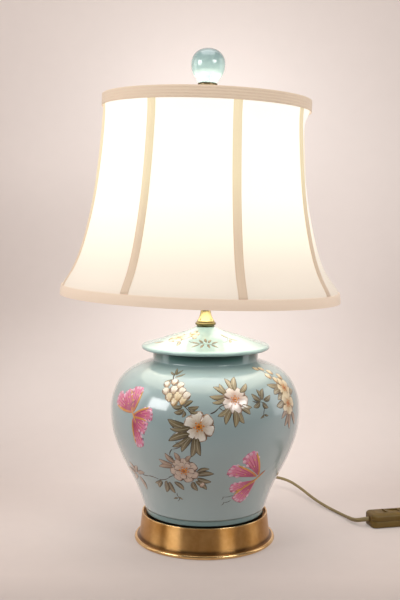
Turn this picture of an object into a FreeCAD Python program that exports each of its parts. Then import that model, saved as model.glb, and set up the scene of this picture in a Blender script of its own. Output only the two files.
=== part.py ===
import FreeCAD, Part
import math
import os

import Sketcher
from FreeCAD import Placement, Rotation, Vector

# Porcelain table lamp: a covered ginger jar on a turned brass foot, a bell shade on a harp.
# Frame: +Z up, the front that carries the blossom is -Y, origin at the middle of the felt.
# All lengths are millimetres and all angles are degrees.

DRIVING_SIZES = {
    # felt and board that close the foot
    "felt_radius": 84.4,
    "felt_thickness": 2.0,
    "board_radius": 84.2,
    "board_thickness": 3.0,
    # turned brass foot
    "foot_radius": 90.8,
    "foot_bead_radius": 2.6,
    "foot_lift": 0.4,
    "foot_height": 36.5,
    "foot_wall": 1.2,
    "foot_skirt_radius": 84.0,
    "foot_skirt_height": 10.0,
    "foot_rim_radius": 81.0,
    "foot_rim_round": 1.0,
    "foot_dish_height": 30.0,
    "cable_hole_radius": 4.2,
    "cable_hole_height": 17.0,
    # bush and boot where the cable leaves the foot
    "bush_flange_radius": 6.4,
    "bush_flange_length": 2.0,
    "bush_inner_length": 3.0,
    "boot_length": 21.0,
    "boot_tip_radius": 3.0,
    "bush_running_gap": 0.1,
    # rod and its hardware
    "rod_radius": 5.0,
    "rod_bore_radius": 3.4,
    "rod_tail": 2.7,
    "rod_tip_rise": 7.9,
    "thread_gap": 0.05,
    "washer_radius": 24.0,
    "washer_thickness": 1.6,
    "nut_flat_width": 14.0,
    "nut_height": 4.5,
    # ring of cork between foot and jar
    "cork_outer_radius": 75.0,
    "cork_inner_radius": 58.0,
    "cork_thickness": 1.2,
    # porcelain jar
    "jar_radius": 121.1,
    "jar_wall": 4.6,
    "jar_foot_radius": 76.2,
    "jar_foot_height": 13.6,
    "jar_foot_round": 1.2,
    "jar_body_height": 189.1,
    "jar_floor_thickness": 7.0,
    "jar_neck_radius": 67.4,
    "jar_neck_height": 12.6,
    "jar_lip_round": 1.6,
    # gasket and lid
    "gasket_thickness": 1.0,
    "gasket_width": 4.0,
    "lid_radius": 81.8,
    "lid_lip_height": 5.4,
    "lid_wall": 5.0,
    "lid_rise": 28.8,
    "lid_crown_radius": 12.0,
    "lid_spigot_radius": 61.6,
    "lid_spigot_wall": 4.0,
    "lid_spigot_depth": 9.0,
    # brass ring and bell that clamp the lid
    "ring_radius": 13.2,
    "ring_height": 6.2,
    "bell_foot_radius": 11.0,
    "bell_top_radius": 6.3,
    "bell_height": 17.0,
    "bell_lip_height": 1.2,
    # harp saddle
    "saddle_half_width": 27.0,
    "saddle_depth": 13.0,
    "saddle_thickness": 1.6,
    "saddle_ear_height": 12.0,
    "saddle_ear_width": 5.6,
    # harp wire, its sleeves, its seat and stud
    "harp_wire_radius": 1.8,
    "harp_half_width": 59.0,
    "harp_leg_height": 56.0,
    "harp_swell_height": 108.0,
    "harp_shoulder_height": 186.0,
    "harp_shoulder_half_width": 55.0,
    "harp_upper_height": 218.0,
    "harp_crown_half_width": 15.0,
    "sleeve_radius": 4.5,
    "sleeve_wall": 0.8,
    "sleeve_length": 17.0,
    "sleeve_lift": 0.5,
    "seat_radius": 8.0,
    "seat_thickness": 2.2,
    "seat_gap": 0.35,
    "stud_radius": 3.0,
    "stud_length": 15.0,
    # lamp holder
    "cap_foot_radius": 9.0,
    "cap_radius": 17.0,
    "cap_height": 17.0,
    "cap_foot_height": 3.0,
    "holder_wall": 0.8,
    "holder_length": 44.0,
    "holder_bead_height": 3.0,
    "liner_thickness": 0.7,
    "liner_gap": 0.1,
    "core_height": 11.0,
    "screw_shell_radius": 14.4,
    "screw_shell_wall": 0.5,
    "screw_shell_length": 22.0,
    "contact_width": 6.0,
    "contact_length": 9.0,
    "contact_thickness": 0.6,
    "terminal_radius": 2.0,
    "terminal_length": 4.0,
    "terminal_offset": 9.5,
    # bulb
    "bulb_cap_radius": 13.0,
    "bulb_cap_height": 23.0,
    "bulb_cap_wall": 0.6,
    "bulb_cap_ridge": 0.6,
    "bulb_tip_radius": 5.0,
    "bulb_tip_height": 2.0,
    "bulb_lift": 1.1,
    "bulb_radius": 30.0,
    "bulb_height": 84.0,
    "bulb_glass": 1.0,
    "bulb_stem_radius": 4.5,
    "bulb_stem_height": 46.0,
    "filament_radius": 0.5,
    "filament_half_width": 11.0,
    "filament_rise": 13.0,
    # cable
    "cable_radius": 2.1,
    "lead_lift": 0.5,
    "lead_bend_run": 27.0,
    # shade frame; heights count up from the lower edge of the shade
    "shade_lean": 1.7,
    "shade_height": 249.0,
    "shade_top_radius": 130.3,
    "shade_bottom_radius": 176.6,
    "hub_seat_height": 242.0,
    "hub_world_height": 556.0,
    "hub_radius": 11.0,
    "hub_hole_radius": 3.5,
    "hub_thickness": 1.6,
    "ring_wire_radius": 2.0,
    "rib_wire_radius": 1.5,
    "arm_wire_radius": 1.8,
    "first_rib_angle": -74.0,
    "cloth_thickness": 0.8,
    "cloth_gap": 0.5,
    "rib_gap": 0.5,
    "ring_gap": 0.5,
    "lining_thickness": 0.6,
    "lining_margin": 9.0,
    "band_thickness": 0.8,
    "band_gap": 0.4,
    "top_band_height": 13.5,
    "bottom_band_height": 12.5,
    "tape_width": 9.0,
    "tape_thickness": 0.5,
    # finial
    "finial_gap": 0.1,
    "finial_base_radius": 9.0,
    "finial_waist_radius": 6.5,
    "finial_collar_radius": 12.4,
    "finial_base_height": 25.0,
    "finial_collar_height": 3.0,
    "ball_radius": 21.4,
    "ball_height": 44.0,
    # switch in the cable
    "switch_length": 64.0,
    "switch_width": 30.0,
    "switch_height": 20.0,
    "switch_wall": 2.2,
    "switch_corner": 8.0,
    "switch_top_round": 3.6,
    "switch_bottom_round": 2.4,
    "switch_start_x": 222.0,
    "switch_start_y": 47.5,
    "switch_bearing": 13.7,
    "rocker_half_length": 10.2,
    "rocker_width": 10.6,
    "rocker_end_rise": 4.6,
    "rocker_mid_rise": 3.6,
    "rocker_depth": 3.0,
    "rocker_waist": 4.0,
    "rocker_tilt": 7.0,
    "rocker_gap": 0.5,
    "rocker_pivot_height": 15.2,
    "rocker_pivot_radius": 1.4,
    "rocker_pivot_length": 1.6,
    "switch_screw_radius": 1.4,
    "switch_screw_head_radius": 2.6,
    "switch_screw_head_height": 1.6,
    "switch_screw_length": 11.0,
    "switch_screw_inset": 13.0,
    "switch_boss_radius": 3.2,
    "terminal_block_length": 7.0,
    "terminal_block_width": 6.0,
    "terminal_block_height": 9.0,
    "terminal_block_inset": 7.0,
    # coil of cable put away beyond the switch, its tie and the plug
    "coil_outer_radius": 36.6,
    "coil_turn_pitch": 4.8,
    "coil_layer_pitch": 5.6,
    "coil_lift": 3.4,
    "coil_lead": 30.0,
    "tie_width": 7.0,
    "tie_thickness": 0.6,
    "tie_gap": 0.3,
    "tail_length": 34.0,
    "plug_length": 48.0,
    "plug_width": 26.0,
    "plug_thickness": 13.7,
    "plug_boot_length": 14.0,
    "plug_boot_width": 8.0,
    "plug_waist_width": 15.0,
    "plug_shoulder_length": 10.0,
    "plug_round": 2.0,
    "plug_pin_radius": 2.0,
    "plug_pin_length": 19.0,
    "plug_pin_spacing": 19.0,
    # overrun that every cut shares
    "cut_overrun": 1.0,
}

RIB_COUNT = 8
ARM_COUNT = 4
PANEL_ANGLE = 360 / RIB_COUNT
ARM_ANGLE = 360 / ARM_COUNT
FULL_TURN = 360
RIGHT_ANGLE = 90
GROOVE_ANGLE = 60
HEXAGON_SIDES = 6
HEXAGON_ANGLE = FULL_TURN / HEXAGON_SIDES
ARC_SHARE = 0.45
NEAR = 1e-6

# Shares that place the in-between points of a profile from its named sizes.
DIAGONAL_SHARE = math.cos(math.radians(RIGHT_ANGLE / 2))
ROUND_CUT_SHARE = 1 - DIAGONAL_SHARE
FLARE_ACROSS_SHARE = 0.3
FLARE_UP_SHARE = 0.4
GROOVE_WALL_SHARE = 0.88
SKIRT_WALL_SHARE = 0.6
BUSH_STEP_SHARE = 0.8
LID_LIP_LOW_SHARE = 0.35
LID_LIP_MIDDLE_SHARE = 0.55
CAP_BEAD_SHARE = 1.5
CONTACT_SPRING_SHARES = (0.7, 1.4, 1.6)
CAP_RIDGE_COUNT = 3
CAP_STEPS = 8
FIRST_RIDGE_STEPS = 1.5
TIP_FLARE_SHARE = 0.4
STEM_TOP_SHARE = 0.7
FILAMENT_FOOT_SHARE = 0.4
BAND_BULGE_SHARE = 0.3
SCREW_SIDE_SHARE = 0.3
HANGER_SHARE = 2.2
PLUG_BOOT_SHARE = 0.42
FINIAL_WAIST_SHARES = (0.36, 0.56)
LEAD_RISE_SHARE = 0.4
ENTRY_SHARE = 0.9

# Radius share of the neck ring's full radius, then height share.
RING_OUTLINE_SHARES = [
    (0.84, 0.00),
    (0.86, 0.24),
    (1.00, 0.60),
    (0.90, 0.96),
    (0.88, 1.00),
]

# How far the bell's radius still is from its top radius, then height share.
BELL_OUTLINE_SHARES = [
    (0.62, 0.24),
    (0.26, 0.50),
    (0.06, 0.76),
    (0.00, 1.00),
]

# Height share, then radius share of the jar's full radius, from foot to neck.
JAR_OUTLINE_SHARES = [
    (0.000, 0.645),
    (0.103, 0.699),
    (0.209, 0.772),
    (0.315, 0.858),
    (0.420, 0.928),
    (0.526, 0.980),
    (0.632, 1.000),
    (0.738, 0.990),
    (0.817, 0.952),
    (0.880, 0.894),
    (0.928, 0.817),
    (0.966, 0.715),
    (1.000, 0.570),
]

# Radius share of the lid's full radius, then height share of its rise, from lip to crown.
LID_OUTLINE_SHARES = [
    (0.975, 0.175),
    (0.896, 0.265),
    (0.719, 0.430),
    (0.542, 0.600),
    (0.289, 0.815),
]

# Height share of the shade, how far its radius has gone from the lower to the upper edge,
# and how far each panel has drawn in to the straight line between its ribs.
SHADE_OUTLINE_SHARES = [
    (0.000, 0.000, 0.00),
    (0.024, 0.010, 0.00),
    (0.050, 0.032, 0.02),
    (0.082, 0.112, 0.12),
    (0.125, 0.242, 0.32),
    (0.205, 0.425, 0.52),
    (0.325, 0.609, 0.64),
    (0.466, 0.765, 0.76),
    (0.627, 0.879, 0.88),
    (0.787, 0.955, 0.90),
    (0.890, 0.990, 0.75),
    (0.944, 1.000, 0.22),
    (0.972, 1.000, 0.06),
    (1.000, 1.000, 0.00),
]

# Height share of the bulb above its neck, then radius share of its full radius.
BULB_OUTLINE_SHARES = [
    (0.000, 0.400),
    (0.160, 0.470),
    (0.330, 0.720),
    (0.500, 0.950),
    (0.640, 1.000),
    (0.790, 0.915),
    (0.920, 0.610),
    (1.000, 0.000),
]

# Height share of the finial's ball, then radius share of its full radius.
BALL_OUTLINE_SHARES = [
    (0.000, 0.542),
    (0.120, 0.700),
    (0.280, 0.900),
    (0.450, 0.990),
    (0.600, 1.000),
    (0.760, 0.905),
    (0.900, 0.650),
    (0.970, 0.360),
    (1.000, 0.000),
]

# Free cable between the boot and the switch, point by point as it lies; the boot's tip comes
# before the first point and the run into the switch comes after the last.
CABLE_ROUTE = [
    (0.0, 143.0, 17.0),
    (14.0, 184.0, 16.5),
    (49.0, 219.0, 18.0),
    (92.0, 236.0, 18.5),
    (126.0, 229.0, 14.5),
    (145.0, 196.0, 9.5),
    (158.0, 159.0, 6.0),
    (173.0, 126.0, 3.6),
    (187.0, 99.0, 2.9),
    (197.9, 75.5, 3.2),
    (204.9, 52.6, 6.0),
]

HALF_TURNS_INWARD = 7
HALF_TURNS_OUTWARD = 6
FIRST_STEP_OUT_SHARE = 1.75


class Size:
    """A length that keeps its value together with the sheet expression that gives it."""

    def __init__(self, text, value):
        self.text = text
        self.value = float(value)

    def joined(self, other, sign, value):
        other_text = other.text if isinstance(other, Size) else repr(other)
        return Size("(%s %s %s)" % (self.text, sign, other_text), value)

    def __add__(self, other):
        return self.joined(other, "+", self.value + plain(other))

    def __sub__(self, other):
        return self.joined(other, "-", self.value - plain(other))

    def __mul__(self, other):
        return self.joined(other, "*", self.value * plain(other))

    def __truediv__(self, other):
        return self.joined(other, "/", self.value / plain(other))

    def __neg__(self):
        return Size("(0 - %s)" % self.text, -self.value)


class SizeSheet:
    """The spreadsheet of driving sizes, read as attributes that are Size values."""

    def __init__(self, document, values):
        self.sheet = document.addObject("Spreadsheet::Sheet", "Sizes")
        self.values = values
        for row, (alias, value) in enumerate(values.items(), start=1):
            self.sheet.set("A%d" % row, alias)
            self.sheet.set("B%d" % row, str(value))
            self.sheet.setAlias("B%d" % row, alias)

    def __getattr__(self, alias):
        return Size("Sizes." + alias, self.values[alias])


def plain(size):
    """The number behind a Size, or the number itself."""
    return size.value if isinstance(size, Size) else float(size)


doc = FreeCAD.newDocument("porcelain_table_lamp")
size = SizeSheet(doc, DRIVING_SIZES)
doc.recompute()
nodes = []


def origin_plane(body, role):
    """The origin plane of a body that has the given role."""
    return [feature for feature in body.Origin.OriginFeatures if feature.Role == role][0]


def new_body(label):
    """An empty body whose label is its node's name, kept in the list of nodes."""
    body = doc.addObject("PartDesign::Body", "Body_" + label)
    body.Label = label
    nodes.append(body)
    return body


def new_sketch(body, role, name):
    """A sketch attached to one of the body's own origin planes."""
    sketch = body.newObject("Sketcher::SketchObject", name)
    sketch.AttachmentSupport = [(origin_plane(body, role), "")]
    sketch.MapMode = "FlatFace"
    return sketch


def bind(item, path, amount):
    """Drive a property from the sheet when the amount comes from it."""
    if isinstance(amount, Size):
        item.setExpression(path, amount.text)


def name_and_bind(sketch, index, name, amount):
    """Name a sketch dimension and drive it from the sheet."""
    sketch.renameConstraint(index, name)
    bind(sketch, "Constraints." + name, amount)


def pin_point(sketch, element, end, across, up, name):
    """Hold a sketch point at its two distances from the sketch's origin."""
    for kind, axis, amount in (("DistanceX", -2, across), ("DistanceY", -1, up)):
        if plain(amount) == 0:
            sketch.addConstraint(Sketcher.Constraint("PointOnObject", element, end, axis))
            continue
        rule = Sketcher.Constraint(kind, -1, 1, element, end, plain(amount))
        index = sketch.addConstraint(rule)
        name_and_bind(sketch, index, name + kind[-1].lower(), amount)


def closed_outline(sketch, outline):
    """Draw a closed outline: the first entry is the start, each later one leads on from the
    last as ("line", x, y), ("arc", mid_x, mid_y, x, y) or ("curve", [(x, y), ...])."""
    spot = lambda pair: Vector(plain(pair[0]), plain(pair[1]), 0)
    corners = [outline[0]]
    pieces = []
    steps = outline[1:]
    last = steps[-1][1][-1] if steps[-1][0] == "curve" else steps[-1][-2:]
    if spot(last).distanceToPoint(spot(outline[0])) > NEAR:
        steps = steps + [("line",) + tuple(outline[0])]
    for kind, *values in steps:
        start = spot(corners[-1])
        if kind == "line":
            corners.append(tuple(values))
            pieces.append(Part.LineSegment(start, spot(values)))
        elif kind == "arc":
            corners.append(tuple(values[2:]))
            pieces.append(Part.Arc(start, spot(values[:2]), spot(values[2:])))
        else:
            corners.append(values[0][-1])
            curve = Part.BSplineCurve()
            curve.interpolate([start] + [spot(pair) for pair in values[0]])
            pieces.append(curve)
    ends = []
    for number, piece in enumerate(pieces):
        element = sketch.addGeometry(piece, False)
        first = sketch.getPoint(element, 1)
        forward = first.distanceToPoint(spot(corners[number])) < NEAR
        ends.append((element, 1, 2) if forward else (element, 2, 1))
    for number, (element, start, _) in enumerate(ends):
        before, _, finish = ends[number - 1]
        sketch.addConstraint(Sketcher.Constraint("Coincident", before, finish, element, start))
        pin_point(sketch, element, start, corners[number][0], corners[number][1],
                  "corner%d" % element)


def place(item, across=0, back=0, up=0):
    """Move a node by amounts that may come from the sheet."""
    item.Placement.Base = Vector(plain(across), plain(back), plain(up))
    bind(item, ".Placement.Base.x", across)
    bind(item, ".Placement.Base.y", back)
    bind(item, ".Placement.Base.z", up)


def turned(label, outline):
    """A node turned on a lathe: the outline's points are radius and height."""
    body = new_body(label)
    sketch = new_sketch(body, "XZ_Plane", label + "_outline")
    closed_outline(sketch, outline)
    turn = body.newObject("PartDesign::Revolution", label + "_turn")
    turn.Profile = sketch
    turn.ReferenceAxis = (sketch, ["V_Axis"])
    turn.Angle = FULL_TURN
    return body


def padded_outline(label, outline, depth, role="XY_Plane"):
    """A node cut as a flat outline and given a depth."""
    body = new_body(label)
    sketch = new_sketch(body, role, label + "_outline")
    closed_outline(sketch, outline)
    pad = body.newObject("PartDesign::Pad", label + "_pad")
    pad.Profile = sketch
    pad.Length = plain(depth)
    bind(pad, "Length", depth)
    return body, pad


def ring(label, outer, inner, thickness, height):
    """A flat washer, or a plain disc when the inner radius is zero."""
    body = new_body(label)
    sketch = new_sketch(body, "XY_Plane", label + "_circles")
    for name, radius in (("outer", outer), ("inner", inner)):
        if plain(radius) == 0:
            continue
        circle = Part.Circle(Vector(0, 0, 0), Vector(0, 0, 1), plain(radius))
        element = sketch.addGeometry(circle, False)
        sketch.addConstraint(Sketcher.Constraint("Coincident", element, 3, -1, 1))
        index = sketch.addConstraint(Sketcher.Constraint("Radius", element, plain(radius)))
        name_and_bind(sketch, index, name, radius)
    pad = body.newObject("PartDesign::Pad", label + "_pad")
    pad.Profile = sketch
    pad.Length = plain(thickness)
    bind(pad, "Length", thickness)
    place(body, up=height)
    return body


def shaped(label, shape):
    """A node whose shape is worked out here from the sheet's values."""
    item = doc.addObject("Part::Feature", "Shape_" + label)
    item.Label = label
    item.Shape = shape
    nodes.append(item)
    return item


def rounded_route(points):
    """Straight runs joined by tangent arcs, each as large as its two runs allow.
    Returns the wire and the least arc radius."""
    spots = [Vector(*point) for point in points]
    edges = []
    radii = []
    last = spots[0]
    for before, corner, after in zip(spots, spots[1:], spots[2:]):
        inward = (corner - before).normalize()
        outward = (after - corner).normalize()
        turn = inward.getAngle(outward)
        reach = ARC_SHARE * min(before.distanceToPoint(corner), corner.distanceToPoint(after))
        radius = reach / math.tan(turn / 2)
        start = corner - inward * reach
        finish = corner + outward * reach
        towards = (outward - inward).normalize()
        middle = corner + towards * (radius / math.cos(turn / 2) - radius)
        edges.append(Part.LineSegment(last, start).toShape())
        edges.append(Part.Arc(start, middle, finish).toShape())
        radii.append(radius)
        last = finish
    edges.append(Part.LineSegment(last, spots[-1]).toShape())
    return Part.Wire(edges), min(radii)


def two_arcs(start, heading, finish, final_heading):
    """Two tangent arcs from one point and heading to another, for part of a coil's turn."""
    chord = finish - start
    both = heading + final_heading
    square = 2 * (heading.dot(final_heading) - 1)
    linear = -2 * chord.dot(both)
    spread = linear * linear - 4 * square * chord.dot(chord)
    if abs(square) < NEAR:
        reach = -chord.dot(chord) / linear
    else:
        reach = (-linear - math.sqrt(spread)) / (2 * square)
    first_handle = start + heading * reach
    last_handle = finish - final_heading * reach
    middle = (first_handle + last_handle) * 0.5
    arcs = []
    for near, handle, far in ((start, first_handle, middle), (middle, last_handle, finish)):
        half = (far - near) * 0.5
        centre_line = near + half
        lift = handle - centre_line
        if lift.Length < NEAR:
            arcs.append(Part.LineSegment(near, far).toShape())
            continue
        half_turn = math.atan2(lift.Length, half.Length)
        radius = half.Length / math.sin(half_turn)
        crest = centre_line + lift.normalize() * (radius * (1 - math.cos(half_turn)))
        arcs.append(Part.Arc(near, crest, far).toShape())
    return arcs


def smooth_route(points, first_heading, last_heading):
    """Pairs of tangent arcs that pass through every point."""
    spots = [Vector(*point) for point in points]
    headings = [first_heading]
    for before, after in zip(spots, spots[2:]):
        headings.append((after - before).normalize())
    headings.append(last_heading)
    edges = []
    for number in range(len(spots) - 1):
        edges += two_arcs(spots[number], headings[number],
                          spots[number + 1], headings[number + 1])
    return Part.Wire(edges)


def tube(wire, radius):
    """A round tube along a wire, with its volume checked against section times length."""
    start = wire.OrderedEdges[0]
    heading = start.tangentAt(start.FirstParameter)
    section = Part.Wire(Part.Circle(wire.OrderedVertexes[0].Point, heading, radius).toShape())
    solid = wire.makePipeShell([section], True, False)
    expected = math.pi * radius * radius * wire.Length
    print("  tube volume over section times length: %.4f" % (solid.Volume / expected))
    return solid


def turn_about_z(shape, angle):
    """A copy of a shape turned about the vertical axis."""
    copy = shape.copy()
    copy.rotate(Vector(0, 0, 0), Vector(0, 0, 1), angle)
    return copy


def lean(item, height=None):
    """Put a node of the shade's own frame in place: that frame counts its heights from the
    shade's lower edge and leans about the harp's seat."""
    above_seat = -size.hub_seat_height if height is None else height - size.hub_seat_height
    tilt = math.radians(size.shade_lean.value)
    item.Placement = Placement(
        Vector(above_seat.value * math.sin(tilt), 0,
               size.hub_world_height.value + above_seat.value * math.cos(tilt)),
        Rotation(Vector(0, 1, 0), size.shade_lean.value))
    angle = "%s * 1 deg" % size.shade_lean.text
    item.setExpression(".Placement.Base.x", "%s * sin(%s)" % (above_seat.text, angle))
    item.setExpression(".Placement.Base.z", "%s + %s * cos(%s)" % (
        size.hub_world_height.text, above_seat.text, angle))
    item.setExpression(".Placement.Rotation.Angle", angle)


def pocket(body, outline_name, role, draw, depth, both_ways=False, flipped=False, lift=0):
    """Cut a body with a sketch drawn by draw(sketch), and check that it takes material away."""
    doc.recompute()
    volume = body.Shape.Volume
    sketch = new_sketch(body, role, outline_name)
    sketch.AttachmentOffset.Base.z = plain(lift)
    bind(sketch, ".AttachmentOffset.Base.z", lift)
    draw(sketch)
    cut = body.newObject("PartDesign::Pocket", outline_name + "_cut")
    cut.Profile = sketch
    cut.Length = plain(depth)
    bind(cut, "Length", depth)
    cut.Midplane = both_ways
    cut.Reversed = flipped
    doc.recompute()
    if not body.Shape.Volume < volume - NEAR:
        raise ValueError("%s cuts nothing" % outline_name)
    return cut


def circle_in(sketch, radius, across=0, up=0, name="bore"):
    """A circle in a sketch, with its radius and centre driven from the sheet."""
    circle = Part.Circle(Vector(plain(across), plain(up), 0), Vector(0, 0, 1), plain(radius))
    element = sketch.addGeometry(circle, False)
    index = sketch.addConstraint(Sketcher.Constraint("Radius", element, plain(radius)))
    name_and_bind(sketch, index, name + "_radius", radius)
    pin_point(sketch, element, 3, across, up, name)


def inner_points(points, wall):
    """Points one wall inside a smooth curve through the given points, from its last point
    back to its first."""
    spots = [Vector(plain(across), plain(up), 0) for across, up in points]
    curve = Part.BSplineCurve()
    curve.interpolate(spots)
    moved = []
    for spot in spots:
        heading = curve.tangent(curve.parameter(spot))[0]
        moved.append((spot.x - heading.y * plain(wall), spot.y + heading.x * plain(wall)))
    return moved[::-1]


# Foot: felt, board, turned brass shell, and the washer and nut that draw the stack together.

foot_top = size.foot_height
bead_centre_radius = size.foot_radius - size.foot_bead_radius
bead_centre_height = size.foot_lift + size.foot_bead_radius
rod_hole_radius = size.rod_radius + size.thread_gap
dish_underside = size.foot_dish_height - size.foot_wall
rim_inner_radius = size.foot_rim_radius - size.foot_rim_round * 2
groove_turn = math.radians(GROOVE_ANGLE)
groove_radius = bead_centre_radius - size.foot_bead_radius * math.cos(groove_turn)
groove_height = bead_centre_height + size.foot_bead_radius * math.sin(groove_turn)

ring("felt_pad", size.felt_radius, 0, size.felt_thickness, 0)
ring("base_board", size.board_radius, 0, size.board_thickness, size.felt_thickness)

base_shell = turned("base_shell", [
    (rod_hole_radius, size.foot_dish_height),
    ("line", rim_inner_radius, size.foot_dish_height),
    ("line", rim_inner_radius, foot_top - size.foot_rim_round),
    ("arc", size.foot_rim_radius - size.foot_rim_round, foot_top,
     size.foot_rim_radius, foot_top - size.foot_rim_round),
    ("line", size.foot_skirt_radius, size.foot_skirt_height),
    ("arc", size.foot_skirt_radius + (groove_radius - size.foot_skirt_radius) * FLARE_ACROSS_SHARE,
     groove_height + (size.foot_skirt_height - groove_height) * FLARE_UP_SHARE,
     groove_radius, groove_height),
    ("arc", size.foot_radius, bead_centre_height, bead_centre_radius, size.foot_lift),
    ("arc", bead_centre_radius - size.foot_bead_radius * DIAGONAL_SHARE,
     bead_centre_height - size.foot_bead_radius * DIAGONAL_SHARE,
     bead_centre_radius - size.foot_bead_radius, bead_centre_height),
    ("line", groove_radius - size.foot_bead_radius * GROOVE_WALL_SHARE, groove_height),
    ("line", size.foot_skirt_radius - size.foot_wall,
     size.foot_skirt_height - size.foot_wall * SKIRT_WALL_SHARE),
    ("line", rim_inner_radius + size.foot_wall, dish_underside),
    ("line", rod_hole_radius, dish_underside),
])
pocket(base_shell, "cable_hole", "XZ_Plane",
       lambda sketch: circle_in(sketch, size.cable_hole_radius, 0, size.cable_hole_height),
       size.foot_radius + size.cut_overrun)

wall_fall = (size.foot_height - size.foot_rim_round - size.cable_hole_height) / (
    size.foot_height - size.foot_rim_round - size.foot_skirt_height)
rear_wall = size.foot_rim_radius + (size.foot_skirt_radius - size.foot_rim_radius) * wall_fall
bush_bore = size.cable_radius + size.bush_running_gap
bush_step = size.bush_inner_length + size.foot_wall * BUSH_STEP_SHARE
bush_body = size.cable_hole_radius - size.bush_running_gap
cable_bush = turned("cable_bush", [
    (bush_bore, 0),
    ("line", bush_body, 0),
    ("line", bush_body, bush_step),
    ("line", size.bush_flange_radius, bush_step),
    ("line", size.bush_flange_radius, bush_step + size.bush_flange_length),
    ("line", bush_body, bush_step + size.bush_flange_length),
    ("line", size.boot_tip_radius, size.bush_inner_length + size.boot_length),
    ("line", bush_bore, size.bush_inner_length + size.boot_length),
])
cable_bush.Placement.Rotation = Rotation(Vector(1, 0, 0), -RIGHT_ANGLE)
place(cable_bush, back=rear_wall - size.bush_inner_length, up=size.cable_hole_height)

washer_height = dish_underside - size.washer_thickness
ring("base_washer", size.washer_radius, rod_hole_radius, size.washer_thickness, washer_height)

nut_height = washer_height - size.nut_height
nut_corner = size.nut_flat_width * (0.5 / math.cos(math.radians(HEXAGON_ANGLE / 2)))
hexagon = [(nut_corner * math.cos(math.radians(HEXAGON_ANGLE * side)),
            nut_corner * math.sin(math.radians(HEXAGON_ANGLE * side)))
           for side in range(HEXAGON_SIDES)]
base_nut, nut_pad = padded_outline(
    "base_nut", hexagon[:1] + [("line",) + corner for corner in hexagon[1:]], size.nut_height)
pocket(base_nut, "nut_thread", "XY_Plane",
       lambda sketch: circle_in(sketch, rod_hole_radius), size.nut_height * 2, both_ways=True)
place(base_nut, up=nut_height)

ring("cork_ring", size.cork_outer_radius, size.cork_inner_radius, size.cork_thickness,
     size.foot_dish_height)

# Porcelain jar, its gasket and its lid.

jar_base = size.foot_dish_height + size.cork_thickness
jar_step = jar_base + size.jar_foot_height
neck_root = jar_step + size.jar_body_height
neck_top = neck_root + size.jar_neck_height
neck_inner_radius = size.jar_neck_radius - size.jar_wall
jar_hole_radius = size.rod_radius + size.cut_overrun
belly = [(size.jar_radius * radius, jar_step + size.jar_body_height * height)
         for height, radius in JAR_OUTLINE_SHARES]
jar_hollow = [point for point in inner_points(belly, size.jar_wall)
              if plain(jar_base + size.jar_floor_thickness) + size.jar_wall.value < point[1]
              and neck_inner_radius.value < point[0]]
turned("jar_body", [
    (jar_hole_radius, jar_base),
    ("line", size.jar_foot_radius - size.jar_foot_round, jar_base),
    ("arc", size.jar_foot_radius - size.jar_foot_round * ROUND_CUT_SHARE,
     jar_base + size.jar_foot_round * ROUND_CUT_SHARE,
     size.jar_foot_radius, jar_base + size.jar_foot_round),
    ("line", size.jar_foot_radius, jar_step - size.jar_foot_round),
    ("line", belly[0][0], jar_step),
    ("curve", belly[1:]),
    ("line", size.jar_neck_radius, neck_root + size.jar_lip_round * 0.5),
    ("line", size.jar_neck_radius, neck_top - size.jar_lip_round),
    ("arc", size.jar_neck_radius - size.jar_lip_round * ROUND_CUT_SHARE,
     neck_top - size.jar_lip_round * ROUND_CUT_SHARE,
     size.jar_neck_radius - size.jar_lip_round, neck_top),
    ("line", neck_inner_radius, neck_top),
    ("line", neck_inner_radius, neck_root - size.jar_wall),
    ("line", jar_hollow[0][0], jar_hollow[0][1]),
    ("curve", jar_hollow[1:]),
    ("line", jar_hollow[-1][0], jar_base + size.jar_floor_thickness),
    ("line", jar_hole_radius, jar_base + size.jar_floor_thickness),
])
ring("lid_gasket", neck_inner_radius + size.gasket_width, neck_inner_radius,
     size.gasket_thickness, neck_top)

lid_base = neck_top + size.gasket_thickness
lid_crown = lid_base + size.lid_rise
lid_slope = [(size.lid_radius * radius, lid_base + size.lid_rise * height)
             for radius, height in LID_OUTLINE_SHARES]
lid_lip_bottom = lid_base + size.lid_lip_height * LID_LIP_LOW_SHARE
turned("jar_lid", [
    (rod_hole_radius, lid_crown),
    ("line", rod_hole_radius, lid_crown - size.lid_wall),
    ("line", lid_slope[3][0], lid_slope[3][1] - size.lid_wall),
    ("line", size.lid_spigot_radius - size.lid_spigot_wall, lid_slope[2][1] - size.lid_wall),
    ("line", size.lid_spigot_radius - size.lid_spigot_wall, lid_base - size.lid_spigot_depth),
    ("line", size.lid_spigot_radius, lid_base - size.lid_spigot_depth),
    ("line", size.lid_spigot_radius, lid_base),
    ("line", size.jar_neck_radius, lid_base),
    ("line", size.lid_radius - size.lid_lip_height * 0.5, lid_lip_bottom),
    ("arc", size.lid_radius, lid_lip_bottom + size.lid_lip_height * LID_LIP_MIDDLE_SHARE,
     lid_slope[0][0], lid_slope[0][1]),
    ("curve", lid_slope[1:] + [(size.lid_crown_radius, lid_crown)]),
])

# Brass ring and bell that clamp the lid, then the harp's saddle.

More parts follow.
